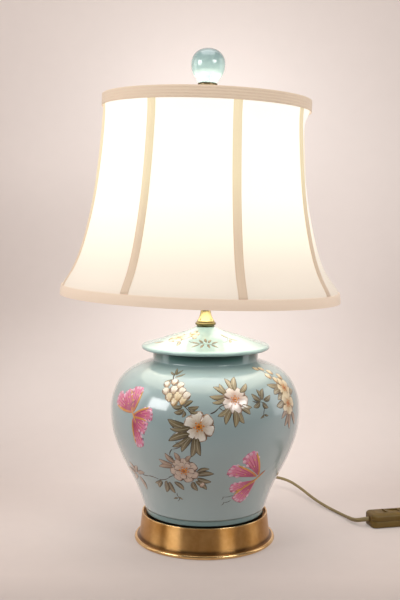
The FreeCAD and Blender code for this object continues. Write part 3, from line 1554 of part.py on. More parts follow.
doc.recompute()
for item in doc.Objects:
    if "Invalid" in item.State or "Error" in item.State:
        raise ValueError("%s failed: %s" % (item.Label, item.State))
for item in nodes:
    if item.Shape.isNull() or not item.Shape.isValid():
        raise ValueError("%s has no valid shape" % item.Label)
    print("%-22s solids %2d  volume %10.1f" % (item.Label, len(item.Shape.Solids),
                                               item.Shape.Volume))
os.makedirs("parts", exist_ok=True)
for item in nodes:
    item.Shape.exportStep("parts/%s.step" % item.Label)
print("%d nodes" % len(nodes))
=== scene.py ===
"""Looks of a porcelain table lamp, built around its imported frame.

Sizes are millimetres and angles are degrees until a mesh is made. An azimuth counts from the
front (-Y) towards +X.
"""

from __future__ import annotations

import logging
import math
from dataclasses import dataclass, field
from enum import Enum
from typing import Any, Sequence

import bpy
import numpy as np
from mathutils import Matrix, Vector


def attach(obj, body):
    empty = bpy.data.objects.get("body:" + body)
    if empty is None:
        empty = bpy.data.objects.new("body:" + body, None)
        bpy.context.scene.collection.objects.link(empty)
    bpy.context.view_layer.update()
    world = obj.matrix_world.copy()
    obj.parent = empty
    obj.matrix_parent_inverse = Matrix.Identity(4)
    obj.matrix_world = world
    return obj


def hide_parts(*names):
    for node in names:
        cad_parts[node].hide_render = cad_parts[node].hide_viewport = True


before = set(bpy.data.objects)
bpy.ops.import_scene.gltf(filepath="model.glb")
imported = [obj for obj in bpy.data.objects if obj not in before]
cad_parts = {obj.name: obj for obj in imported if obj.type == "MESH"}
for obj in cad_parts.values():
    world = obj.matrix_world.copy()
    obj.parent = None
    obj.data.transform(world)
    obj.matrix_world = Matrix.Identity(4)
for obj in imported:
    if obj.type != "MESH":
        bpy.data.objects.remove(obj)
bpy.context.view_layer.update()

MM = 0.001
BORE = 5.05  # radius of the hole for the threaded rod
Array = np.ndarray
Object = bpy.types.Object
Colour = tuple[int, int, int]
Spot = tuple[float, float]
Place = tuple[float, float, float]
log = logging.getLogger("lamp")


# Surfaces


@dataclass
class Surface:
    """Points, four-cornered faces, their UV corners and any colours carried by the points."""

    points: Array
    quads: Array
    uv: Array
    paint: dict[str, Array] = field(default_factory=dict)

    def outward(self) -> Surface:
        """Turn the faces round if the enclosed volume, the sum of a.(b x c)/6, is negative.

        Returns:
            The same surface, its faces pointing outwards.
        """
        a, b, c, d = (self.points[self.quads[:, k]] for k in range(4))
        volume = np.einsum("ij,ij->", a, np.cross(b, c)) + np.einsum("ij,ij->", a, np.cross(c, d))
        if volume < 0:
            self.quads, self.uv = self.quads[:, ::-1], self.uv[:, ::-1]
        return self

    def moved(self, turn: Matrix) -> Surface:
        """The surface carried by a 4 x 4 matrix whose offset is in millimetres."""
        m = np.array(turn, float)
        return Surface(self.points @ m[:3, :3].T + m[:3, 3], self.quads, self.uv, self.paint)

    @staticmethod
    def joined(parts: Sequence[Surface]) -> Surface:
        """Put several surfaces into one.

        Args:
            parts: all with the same paint.

        Returns:
            The one surface.
        """
        starts = np.cumsum([0] + [len(part.points) for part in parts])
        return Surface(
            np.concatenate([part.points for part in parts]),
            np.concatenate([part.quads + start for part, start in zip(parts, starts)]),
            np.concatenate([part.uv for part in parts]),
            {key: np.concatenate([part.paint[key] for part in parts]) for key in parts[0].paint})


def stacked(*coordinates: Any) -> Array:
    """Points out of their coordinates, each stretched to the shape of all."""
    return np.stack(np.broadcast_arrays(*coordinates), axis=-1)


def unit(vectors: Array) -> Array:
    """Vectors brought to a length of one."""
    return vectors / np.linalg.norm(vectors, axis=1)[:, None]


def run_along(line: Array) -> Array:
    """How far along a line each of its points is, chord by chord."""
    return np.concatenate([[0], np.cumsum(np.linalg.norm(np.diff(line, axis=0), axis=1))])


def grid(points: Array, uv: Array | None = None) -> Surface:
    """Faces between the neighbours of a grid of points.

    Args:
        points: rows x columns x 3.
        uv: rows x columns x 2; shares of the rows and columns where it is left out.

    Returns:
        The surface, with shared edges left as doubles for welding.
    """
    rows, columns = points.shape[:2]
    if uv is None:
        uv = stacked(np.linspace(0, 1, columns), np.linspace(0, 1, rows)[:, None])
    index = np.arange(rows * columns).reshape(rows, columns)
    quads = stacked(index[:-1, :-1], index[:-1, 1:], index[1:, 1:], index[1:, :-1])
    quads = quads.reshape(-1, 4)
    return Surface(points.reshape(-1, 3), quads, uv.reshape(-1, 2)[quads])


def smooth_line(knots: Sequence[Sequence[float]], count: int) -> Array:
    """Natural cubic spline through the knots, spaced evenly by chord length.

    Args:
        knots: points of any dimension.
        count: how many points to give back.

    Returns:
        count x dimension. Second derivatives M solve h0 M0 + 2(h0+h1) M1 + h1 M2 = 6 (s1 - s0),
        where h is a chord, s is a chord's slope and M is nought at both ends.
    """
    spots = np.array(knots, float)
    place = run_along(spots)
    steps = np.linalg.norm(np.diff(spots, axis=0), axis=1)
    total = len(spots)
    system = np.eye(total)
    middle = np.arange(1, total - 1)
    system[middle, middle - 1] = steps[:-1]
    system[middle, middle] = 2 * (steps[:-1] + steps[1:])
    system[middle, middle + 1] = steps[1:]
    slopes = np.diff(spots, axis=0) / steps[:, None]
    wanted = np.zeros_like(spots)
    wanted[1:-1] = 6 * (slopes[1:] - slopes[:-1])
    bends = np.linalg.solve(system, wanted)
    at = np.linspace(0, place[-1], count)
    span = np.clip(np.searchsorted(place, at, side="right") - 1, 0, total - 2)
    width = steps[span][:, None]
    b = (at - place[span])[:, None] / width
    a = 1 - b
    curve = (a**3 - a) * bends[span] + (b**3 - b) * bends[span + 1]
    return a * spots[span] + b * spots[span + 1] + curve * width**2 / 6


def softened(corners: Sequence[Sequence[float]], reach: float | Sequence[float],
             steps: int = 5, closed: bool = True) -> Array:
    """Corners rounded by the curve (1-t)^2 A + 2t(1-t) P + t^2 B, A and B a reach from P.

    Args:
        corners: the outline's corner points P.
        reach: how far each rounding starts from its corner, at most 0.45 of the edge.
        steps: points on each rounding.
        closed: whether the last corner leads back to the first.

    Returns:
        The rounded outline, with its first point repeated at the end when closed.
    """
    spots = np.array(corners, float)
    wanted = np.broadcast_to(np.array(reach, float), (len(spots),)).copy()
    if not closed:
        wanted[[0, -1]] = 0
    ends = []
    for side in (1, -1):
        edge = np.roll(spots, side, axis=0) - spots
        length = np.linalg.norm(edge, axis=1)
        share = np.minimum(wanted, 0.45 * length) / np.maximum(length, 1e-9)
        ends.append(spots + edge * share[:, None])
    start, finish = (end[:, None] for end in ends)
    t = np.linspace(0, 1, steps)[None, :, None]
    line = (1 - t) ** 2 * start + 2 * t * (1 - t) * spots[:, None] + t**2 * finish
    line = line.reshape(-1, spots.shape[1])
    keep = np.concatenate([[True], np.linalg.norm(np.diff(line, axis=0), axis=1) > 1e-6])
    line = line[keep]
    return np.concatenate([line, line[:1]]) if closed else line


def circle(radius: float, count: int) -> Array:
    """A closed circle, (r cos a, r sin a).

    Args:
        radius: r.
        count: how many steps it has.

    Returns:
        Its points, the last equal to the first.
    """
    turn = np.linspace(0, 2 * math.pi, count + 1)
    turn[-1] = 0
    return stacked(np.cos(turn), np.sin(turn)) * radius


def lathe(outline: Array, segments: int = 144) -> Surface:
    """An outline of radius and height carried round the Z axis: (r cos a, r sin a, z).

    Args:
        outline: closed on itself, or from the axis to the axis.
        segments: steps round the axis.

    Returns:
        A closed surface; u counts round the axis and v along the outline.
    """
    cosine, sine = circle(1, segments).T
    radius, level = outline[:, :1], outline[:, 1:]
    return grid(stacked(radius * cosine, radius * sine, level)).outward()


def sweep(path: Array, section: Array, beside: Place, scale: Array | float = 1.0,
          closed: bool = False) -> Surface:
    """A section carried along a path: p + s (x side + y up), side = heading x beside.

    Args:
        path: the points of the path.
        section: closed outline in the plane across the path.
        beside: a direction never along the path.
        scale: the section's size along the path.
        closed: whether the path joins on to itself.

    Returns:
        A closed tube, its ends drawn together where the path is open.
    """
    if closed:
        ring = np.concatenate([path[-2:-1], path, path[1:2]])
        heading = unit(ring[2:] - ring[:-2])
    else:
        heading = unit(np.gradient(path, axis=0))
    side = unit(np.cross(heading, np.broadcast_to(np.array(beside, float), path.shape)))
    up = np.cross(side, heading)
    size = np.broadcast_to(np.array(scale, float), (len(path),))[:, None, None]
    points = path[:, None] + size * (section[None, :, :1] * side[:, None]
                                     + section[None, :, 1:] * up[:, None])
    if not closed:
        ends = np.repeat(path[[0, -1]][:, None], points.shape[1], axis=1)
        points = np.concatenate([ends[:1], points, ends[1:]])
    return grid(points).outward()


def linked(name: str, data: Any) -> Object:
    """Put a new object into the scene.

    Args:
        name: the object's name.
        data: its mesh, curve, camera or light.

    Returns:
        The object.
    """
    thing = bpy.data.objects.new(name, data)
    bpy.context.scene.collection.objects.link(thing)
    return thing


def make_object(name: str, surface: Surface) -> Object:
    """Weld a surface's doubles, close its poles and put it into a mesh object in metres.

    Args:
        name: the piece's name.
        surface: in millimetres.

    Returns:
        The smooth-shaded object, at the origin.
    """
    key = np.round(surface.points * 1e4).astype(np.int64)
    _, first, inverse = np.unique(key, axis=0, return_index=True, return_inverse=True)
    quads = inverse.reshape(-1)[surface.quads]
    same = quads == np.roll(quads, -1, axis=1)
    folds = same.sum(axis=1)
    whole = folds == 0
    faces: list[list[int]] = quads[whole].tolist()
    uv = [surface.uv[whole].reshape(-1, 2)]
    for k in range(4):
        drawn = (folds == 1) & same[:, k]
        order = [k, (k + 2) % 4, (k + 3) % 4]
        faces += quads[drawn][:, order].tolist()
        uv.append(surface.uv[drawn][:, order].reshape(-1, 2))
    mesh = bpy.data.meshes.new(name)
    mesh.from_pydata((surface.points[first] * MM).tolist(), [], faces)
    mesh.uv_layers.new(name="UVMap").data.foreach_set(
        "uv", np.concatenate(uv).astype(np.float32).ravel())
    for key_name, values in surface.paint.items():
        layer = mesh.attributes.new(key_name, "FLOAT_COLOR", "POINT")
        layer.data.foreach_set("color", values[first].astype(np.float32).ravel())
    mesh.polygons.foreach_set("use_smooth", np.ones(len(faces), bool))
    mesh.update()
    return linked(name, mesh)


# Finishes


def linear(colour: Colour, alpha: float = 1.0) -> tuple[float, float, float, float]:
    """A screen colour as linear light: ((c + 0.055) / 1.055)^2.4, or c / 12.92 if dark.

    Args:
        colour: red, green and blue of 0 to 255.
        alpha: passed on.

    Returns:
        Red, green, blue and alpha of nought to one.
    """
    share = np.array(colour, float) / 255
    light = np.where(share <= 0.04045, share / 12.92, ((share + 0.055) / 1.055) ** 2.4)
    return (*(float(x) for x in light), alpha)


class Value:
    """What a node gives out, with sums written as arithmetic."""

    def __init__(self, tree: Tree, socket: Any) -> None:
        """Hold an output socket and the tree that it is in."""
        self.tree, self.socket = tree, socket

    def __add__(self, other: Any) -> Value:
        """The sum."""
        return self.tree.math("ADD", self, other)

    def __sub__(self, other: Any) -> Value:
        """The difference."""
        return self.tree.math("SUBTRACT", self, other)

    def __rsub__(self, other: Any) -> Value:
        """The difference the other way round."""
        return self.tree.math("SUBTRACT", other, self)

    def __mul__(self, other: Any) -> Value:
        """The product."""
        return self.tree.math("MULTIPLY", self, other)

    def __truediv__(self, other: Any) -> Value:
        """The quotient."""
        return self.tree.math("DIVIDE", self, other)

    def __abs__(self) -> Value:
        """The size without its sign."""
        return self.tree.math("ABSOLUTE", self)

    def __or__(self, other: Any) -> Value:
        """The greater of the two."""
        return self.tree.math("MAXIMUM", self, other)

    def clamped(self) -> Value:
        """The same, kept between nought and one."""
        self.socket.node.use_clamp = True
        return self


class Tree:
    """The node tree of a material or a world, and short ways to add nodes to it."""

    def __init__(self, owner: Any) -> None:
        """Work on the owner's tree."""
        owner.use_nodes = True
        self.nodes, self.links = owner.node_tree.nodes, owner.node_tree.links

    def put(self, socket: Any, value: Any) -> None:
        """Link a value to a socket, or set the socket's own.

        Args:
            socket: the input.
            value: a node's output, a number or a screen colour.
        """
        if isinstance(value, Value):
            self.links.new(value.socket, socket)
        elif socket.type == "RGBA":
            socket.default_value = linear(value)
        else:
            socket.default_value = value

    def add(self, kind: str, inputs: dict[Any, Any], result: Any = 0, **settings: Any) -> Value:
        """A new node.

        Args:
            kind: its type after the word ShaderNode.
            inputs: what goes into its sockets, by name or number.
            result: the output that is wanted, by name or number.
            settings: its own settings.

        Returns:
            That output.
        """
        node = self.nodes.new("ShaderNode" + kind)
        for name, value in settings.items():
            setattr(node, name, value)
        for key, value in inputs.items():
            self.put(node.inputs[key], value)
        return Value(self, node.outputs[result])

    def math(self, operation: str, *values: Any) -> Value:
        """The result of one sum."""
        return self.add("Math", dict(enumerate(values)), operation=operation)

    def mix(self, share: Any, first: Any, second: Any, kind: str = "MIX") -> Value:
        """Two colours mixed by a share."""
        return self.add("Mix", {0: share, 6: first, 7: second}, 2, data_type="RGBA",
                        blend_type=kind)

    def bell(self, *terms: tuple[Value, float, float]) -> Value:
        """A soft round bell, exp(-sum of ((value - centre) / width)^2).

        Args:
            terms: the value, centre and width of each direction.

        Returns:
            One in the middle, going to nought.
        """
        parts = [(value - centre) / width for value, centre, width in terms]
        square = parts[0] * parts[0]
        for part in parts[1:]:
            square = square + part * part
        return self.math("EXPONENT", square * -1.0)

    def split(self, source: Value) -> list[Value]:
        """The three coordinates of a vector."""
        node = self.add("SeparateXYZ", {0: source}).socket.node
        return [Value(self, output) for output in node.outputs]

    def stretched(self, source: Value, scale: Place) -> Value:
        """Coordinates scaled."""
        return self.add("Mapping", {"Vector": source, "Scale": scale})

    def noise(self, source: Value, scale: float, detail: float = 3.0,
              rough: float = 0.5) -> Value:
        """A cloud of values from nought to one."""
        return self.add("TexNoise", {"Vector": source, "Scale": scale, "Detail": detail,
                                     "Roughness": rough}, "Fac")

    def wave(self, source: Value, scale: float, direction: str, wobble: float) -> Value:
        """Even ridges across one direction."""
        return self.add("TexWave", {"Vector": source, "Scale": scale, "Distortion": wobble},
                        "Fac", bands_direction=direction)

    def ramp(self, source: Value, *stops: tuple[float, Any]) -> Value:
        """A colour or grey that goes through the stops.

        Args:
            source: what it depends on.
            stops: places from nought to one, each with its tone.

        Returns:
            The colour or grey.
        """
        value = self.add("ValToRGB", {0: source})
        elements = value.socket.node.color_ramp.elements
        while len(elements) < len(stops):
            elements.new(0.5)
        for element, (place, tone) in zip(elements, stops):
            element.position = place
            element.color = linear(tone) if isinstance(tone, tuple) else (tone, tone, tone, 1)
        return value

    def ray(self, kind: str) -> Value:
        """One for a camera, glossy or transmission ray, else nought."""
        return self.add("LightPath", {}, "Is %s Ray" % kind)


class Paint(Tree):
    """A new material's tree round a principled shader."""

    def __init__(self, name: str) -> None:
        """Start the material.

        Args:
            name: its name.
        """
        material = bpy.data.materials.new(name)
        super().__init__(material)
        self.material = material
        self.nodes.clear()
        self.output = self.nodes.new("ShaderNodeOutputMaterial")
        self.shader = self.nodes.new("ShaderNodeBsdfPrincipled")
        self.links.new(self.shader.outputs[0], self.output.inputs[0])
        coordinates = self.nodes.new("ShaderNodeTexCoord")
        self.place = Value(self, coordinates.outputs["Object"])
        self.uv = Value(self, coordinates.outputs["UV"])

    def set(self, **values: Any) -> None:
        """Set or link the shader's sockets; an underscore stands for a space."""
        for name, value in values.items():
            self.put(self.shader.inputs[name.replace("_", " ")], value)

    def bump(self, height: Value, depth: float) -> None:
        """Stand the surface up by a height of nought to one times a depth in millimetres."""
        self.set(Normal=self.add("Bump", {"Strength": 1.0, "Distance": depth * MM,
                                          "Height": height}))

    def round_place(self) -> Value:
        """The distance from the Z axis, the height and nought, for turned lines."""
        x, y, z = self.split(self.place)
        return self.add("CombineXYZ", {0: self.math("SQRT", x * x + y * y), 1: z})

    def level(self) -> Value:
        """Object Z in metres."""
        return self.split(self.place)[2]


@dataclass(frozen=True)
class Finish:
    """A surface finish: its two tones, roughness and fine grain."""

    name: str
    tone: Colour
    other: Colour
    rough: float = 0.5
    metal: float = 0.0
    grain: float = 60.0
    depth: float = 0.1
    coat: float = 0.0
    sheen: float = 0.0

    def material(self) -> bpy.types.Material:
        """Make the material once for each name.

        Returns:
            The material.
        """
        name = "finish_" + self.name
        if name not in bpy.data.materials:
            self.build(Paint(name))
        return bpy.data.materials[name]

    def build(self, paint: Paint) -> None:
        """Two tones clouded together, with grain in the roughness and the relief.

        Args:
            paint: the new material's tree.
        """
        cloud = paint.noise(paint.place, self.grain, 4.0)
        fine = paint.noise(paint.place, self.grain * 12, 2.0)
        paint.set(Base_Color=paint.mix(cloud, self.tone, self.other), Metallic=self.metal,
                  Coat_Weight=self.coat, Sheen_Weight=self.sheen,
                  Roughness=fine * 0.2 + (self.rough - 0.1))
        paint.bump(fine, self.depth)


@dataclass(frozen=True)
class TurnedMetal(Finish):
    """Metal from a lathe: lines round its axis stretch its highlights upwards; soft patina, and
    painted shade in a groove.
    """

    stretch: float = 0.0
    # The height of a groove that gets painted shade; nought for none.
    groove: float = 0.0

    # Painted shade in a groove: its width and its dark tone.
    GROOVE_SHADE_WIDTH = 2.2
    GROOVE_SHADE_TONE = (66, 38, 18)

    def build(self, paint: Paint) -> None:
        """Noise stretched round the axis gives the lines; a slow cloud gives the patina. Painted
        shade darkens a band at the height of a groove where one is given.

        Args:
            paint: the new material's tree.
        """
        lines = paint.noise(paint.stretched(paint.round_place(), (1500, 1500, 1)), 1.0, 2.0)
        slow = paint.noise(paint.place, self.grain, 5.0, 0.6)
        colour = paint.mix(paint.ramp(slow, (0.35, 0), (0.7, 1)), self.tone, self.other)
        if self.groove:
            # painted shade: a dark band at the groove's height
            painted_shade = paint.bell((paint.level(), self.groove * MM, self.GROOVE_SHADE_WIDTH * MM))
            colour = paint.mix(painted_shade * 0.75, colour, self.GROOVE_SHADE_TONE)
        paint.set(Base_Color=colour, Metallic=self.metal, Anisotropic=self.stretch,
                  Roughness=lines * 0.1 + (self.rough - 0.05))
        if self.stretch:
            paint.set(Anisotropic_Rotation=0.25,
                      Tangent=paint.add("Tangent", {}, direction_type="RADIAL", axis="Z"))
        paint.bump(lines, self.depth)


@dataclass(frozen=True)
class Glaze(Finish):
    """Porcelain glaze: clear coat over a colour that drifts, with faint ripples and painted shade.
    """

    bands: tuple[tuple[float, Colour], ...] = ()
    # Rings of painted shade: height, width, share and tone of each.
    crevice_shade: tuple[tuple[float, float, float, Colour], ...] = ()
    haze: float = 0.08

    SPECK_TONE = (96, 110, 104)
    BAND_EDGE = 1400.0  # how sharply a band ends, in shares for each metre

    def build(self, paint: Paint) -> None:
        """A slow cloud mixes the two tones, wide low ripples bend the reflections, and bands
        of another tone lie below the heights given. Painted shade at a height z0 darkens by
        a exp(-((z - z0)/w)^2) of its own tone.

        Args:
            paint: the new material's tree.
        """
        cloud = paint.noise(paint.place, self.grain, 2.0)
        ripples = paint.noise(paint.place, self.grain * 4, 1.0)
        specks = paint.ramp(paint.noise(paint.place, 900.0, 2.0), (0.74, 0), (0.8, 1))
        colour = paint.mix(cloud, self.tone, self.other)
        level = paint.level()
        # Bands of another tone; on the jar the lowest is painted shadow in the gap inside the
        # foot's rim.
        for top, tone in self.bands:
            below = ((top * MM - level) * self.BAND_EDGE).clamped()
            colour = paint.mix(below, colour, tone)
        # Painted shade: darker rings where the lid overhangs.
        for height, width, share, tone in self.crevice_shade:
            painted_shade = paint.bell((level, height * MM, width * MM))
            colour = paint.mix(painted_shade * share, colour, tone)
        paint.set(Base_Color=paint.mix(specks * 0.12, colour, self.SPECK_TONE),
                  Roughness=self.rough, Coat_Weight=self.coat, Coat_Roughness=self.haze,
                  Coat_IOR=1.5)
        paint.bump(ripples, self.depth)


@dataclass(frozen=True)
class Cloth(Finish):
    """Woven cloth with its threads along the UV map, and a glow that goes with height."""

    threads: float = 300.0
    glow: tuple[tuple[float, Colour], ...] = ()
    glow_strength: float = 0.0
    # How strongly a tape darkens along its edges: its sewn edges, with painted shade where they
    # fold.
    edge_stitch_and_shade: float = 0.0

    LOW, HIGH = 0.3, 0.57  # the heights, in metres, that the glow's ramp goes between
    EDGE_STITCH_AND_SHADE_TONE = (150, 128, 104)

    def build(self, paint: Paint) -> None:
        """Two crossed waves make the weave; the glow's colour is a ramp over Object Z.

        Args:
            paint: the new material's tree.
        """
        weave = (paint.wave(paint.uv, self.threads, "X", 0.6)
                 | paint.wave(paint.uv, self.threads * 0.8, "Y", 0.6))
        slub = paint.noise(paint.stretched(paint.uv, (8, 160, 1)), 3.0)
        colour = paint.mix((weave + slub) * 0.5, self.other, self.tone)
        # painted shade, with the stitching, darkens both edges of a tape
        if self.edge_stitch_and_shade:
            edge = paint.ramp(abs(paint.split(paint.uv)[0] - 0.5), (0.34, 0), (0.42, 1))
            colour = paint.mix(edge * self.edge_stitch_and_shade, colour, self.EDGE_STITCH_AND_SHADE_TONE)
        height = ((paint.level() - self.LOW) / (self.HIGH - self.LOW)).clamped()
        light = paint.ramp(height, *self.glow)
        paint.set(Base_Color=colour, Roughness=0.85, Sheen_Weight=self.sheen,
                  Sheen_Roughness=0.4, Emission_Strength=self.glow_strength,
                  Emission_Color=paint.mix(0.06, light, colour, "MULTIPLY"))
        paint.bump(weave, self.depth)


class Enamel(Finish):
    """Painted enamel: fill, root and edge colours come with the points; UV gives the brush."""

    VEIN_TONE = (236, 226, 200)

    def build(self, paint: Paint) -> None:
        """Root to fill along v, an outline where |2u-1| or v nears 1, a vein where alpha asks.

        Args:
            paint: the new material's tree.
        """
        fill, root, edge = (paint.add("Attribute", {}, "Color", attribute_name=name)
                            for name in ("fill", "root", "edge"))
        rim_share, vein_share = (Value(paint, value.socket.node.outputs["Alpha"])
                                 for value in (fill, root))
        u, along, _ = paint.split(paint.uv)
        across = abs(u * 2.0 - 1.0)
        streak = paint.noise(paint.stretched(paint.uv, (9, 1.5, 1)), 2.0)
        body = paint.mix(paint.ramp(along + (streak - 0.5) * 0.5, (0.1, 0), (0.75, 1)), root, fill)
        vein = paint.ramp(across, (0.03, 1), (0.12, 0)) * vein_share
        rim = paint.ramp(across, (0.66, 0), (0.86, 1)) | paint.ramp(along, (0.9, 0), (0.97, 1))
        pale = paint.mix(vein * 0.6, body, self.VEIN_TONE)
        paint.set(Base_Color=paint.mix(rim * rim_share, pale, edge), Roughness=0.3,
                  Coat_Weight=1.0, Coat_Roughness=0.08)
        paint.bump(streak, self.depth)


@dataclass(frozen=True)
class Clear(Finish):
    """Lit bulb glass: a thin frosting that glows warm."""

    shine: float = 1.0

    def build(self, paint: Paint) -> None:
        """A pale base with a glow whose colour drifts a little over the glass.

        Args:
            paint: the new material's tree.
        """
        cloud = paint.noise(paint.place, self.grain, 2.0)
        paint.set(Base_Color=self.tone, Roughness=0.35, Coat_Weight=1.0,
                  Emission_Color=paint.mix(cloud, self.tone, self.other),
                  Emission_Strength=self.shine)


FELT = Finish("felt", (46, 52, 50), (62, 68, 64), 0.95, grain=300, depth=0.4, sheen=0.6)
BOARD = Finish("board", (150, 120, 86), (170, 140, 104), 0.8, grain=90)
BRASS = TurnedMetal("brass", (206, 166, 112), (176, 132, 78), 0.27, 1, 26, 0.01)
# groove=7 puts painted shade in the groove above the bead.
FOOT_BRASS = TurnedMetal("foot_brass", (212, 166, 106), (172, 122, 62), 0.37, 1, 26, 0.004,
                         stretch=0.97, groove=7)
# A lighter, smoother copy of the foot's brass: polished edges, made lighter as painted highlights.
EDGE_HIGHLIGHT_BRASS = TurnedMetal("edge_highlight_brass", (236, 202, 148), (206, 162, 104), 0.2, 1, 40, 0.003)
# A darker brass for the finial's cup.
DARK_BRASS = TurnedMetal("dark_brass", (118, 104, 78), (98, 84, 60), 0.36, 1, 60, 0.01)
# The bell's paler brass is partly painted light, the lit lining's reflection; the ring's darker
# brass is partly painted shade.
BELL_BRASS = TurnedMetal("bell_brass", (234, 216, 156), (222, 200, 134), 0.22, 1, 60, 0.01)
RING_BRASS = TurnedMetal("ring_brass", (156, 142, 98), (132, 116, 72), 0.28, 1, 60, 0.01)
STEEL = TurnedMetal("zinc_steel", (170, 172, 176), (140, 142, 148), 0.34, 1, 60, 0.02)
RUBBER = Finish("boot_plastic", (94, 84, 54), (80, 72, 48), 0.55, grain=80, depth=0.03)
CORK = Finish("cork", (150, 110, 70), (110, 76, 46), 0.9, grain=220, depth=0.3)
# The band below 38.6 mm is painted shadow in the gap inside the foot's rim; the two dark rings at
# the neck are painted shade under the lid.
JAR_GLAZE = Glaze("jar_glaze", (174, 193, 194), (165, 186, 188), 0.22, grain=9, depth=0.05,
                  coat=1, bands=((45.3, (118, 150, 150)), (38.6, (14, 16, 16))),
                  crevice_shade=((243.0, 8.0, 0.9, (56, 108, 98)), (247.4, 2.4, 1.0, (10, 26, 22))))
# The lid's dark ring at its lip is painted shade.
LID_GLAZE = Glaze("lid_glaze", (174, 202, 200), (166, 196, 194), 0.22, grain=14, depth=0.03,
                  coat=1, crevice_shade=((246.8, 2.6, 0.8, (60, 104, 96)),), haze=0.2)
BALL_GLAZE = Glaze("ball_glaze", (158, 184, 182), (152, 178, 178), 0.16, grain=20, depth=0.004,
                   coat=1, haze=0.16)
GASKET = Finish("gasket", (222, 220, 210), (206, 204, 196), 0.6, grain=90, depth=0.05)
CARD = Finish("card", (196, 176, 140), (178, 156, 120), 0.85, grain=160)
CORE = Finish("core_ceramic", (236, 230, 216), (222, 214, 198), 0.4, grain=90, depth=0.04,
              coat=0.3)
SCREW_BRASS = TurnedMetal("screw_brass", (206, 168, 96), (180, 140, 74), 0.3, 1, 60, 0.02)
BULB_METAL = TurnedMetal("bulb_cap_metal", (196, 196, 196), (166, 166, 170), 0.32, 1, 60, 0.03)
BULB_GLASS = Clear("bulb_glass", (255, 250, 238), (255, 238, 206), grain=20, shine=1.6)
STEM_GLASS = Clear("stem_glass", (250, 246, 236), (255, 240, 214), grain=20, shine=0.5)
FILAMENT = Clear("filament", (255, 214, 140), (255, 196, 110), grain=90, shine=6)
FRAME_WIRE = Finish("frame_wire", (232, 228, 218), (214, 208, 196), 0.4, grain=70, depth=0.05,
                    coat=0.4)
# The cloths' glow is painted light: the bulb's light through the cloth, as emission that rises
# with height; the lining's glow also lights the lid.
SILK = Cloth("shade_silk", (182, 172, 158), (172, 160, 146), depth=0.05, sheen=0.3,
             glow=((0.05, (188, 175, 162)), (0.2, (220, 208, 193)), (0.35, (250, 243, 222)),
                   (0.5, (255, 252, 243)), (1.0, (255, 253, 247))), glow_strength=0.94)
LINING = Cloth("shade_lining", (250, 246, 236), (240, 234, 220), depth=0.04, sheen=0.2,
               glow=((0.0, (232, 228, 216)), (0.5, (252, 253, 250)), (1.0, (255, 254, 250))),
               glow_strength=1.0)
TRIM = Cloth("shade_trim", (226, 204, 182), (210, 186, 162), threads=160, depth=0.12, sheen=0.4,
             glow=((0.0, (176, 158, 142)), (1.0, (160, 142, 122))), glow_strength=0.9)
TAPE = Cloth("shade_tape", (210, 190, 168), (198, 176, 154), threads=90, depth=0.15, sheen=0.4,
             glow=((0.0, (150, 126, 108)), (0.35, (204, 182, 154)), (0.6, (240, 226, 182)),
                   (1.0, (246, 232, 188))), glow_strength=0.7, edge_stitch_and_shade=0.2)
CORD = Finish("cord_sleeve", (160, 142, 98), (142, 124, 84), grain=50, depth=0.03)
SWITCH = Finish("switch_plastic", (118, 92, 30), (104, 80, 24), depth=0.03)
TIE = Finish("tie_plastic", (206, 200, 186), (190, 184, 170), depth=0.03)
PLUG = Finish("plug_plastic", (124, 92, 34), (108, 78, 28), 0.45, depth=0.03)
PINS = TurnedMetal("pin_metal", (196, 190, 170), (170, 164, 146), 0.25, 1, 60, 0.01)
PAINT = Enamel("painted_enamel", (255, 255, 255), (255, 255, 255), depth=0.02)


def dressed(piece: Object, finish: Finish, *stands_for: str, body: str = "lamp",
            slot: str = "") -> Object:
    """Dress a piece, set it riding on a body and let it stand for CAD nodes.

    Args:
        piece: at rest in the row frame.
        finish: its finish.
        stands_for: CAD nodes that it replaces.
        body: the CAD body that it moves with.
        slot: not used.

    Returns:
        The same piece.
    """
    piece.data.materials.clear()
    piece.data.materials.append(finish.material())
    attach(piece, body)
    if stands_for:
        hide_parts(*stands_for)
    log.info("piece %s rides on %s", piece.name, body)
    return piece


def made(name: str, surface: Surface, finish: Finish, *stands_for: str, **where: str) -> Object:
    """A surface made into a dressed piece; where gives its body."""
    return dressed(make_object(name, surface), finish, *stands_for, **where)


# Camera, lights, backdrop


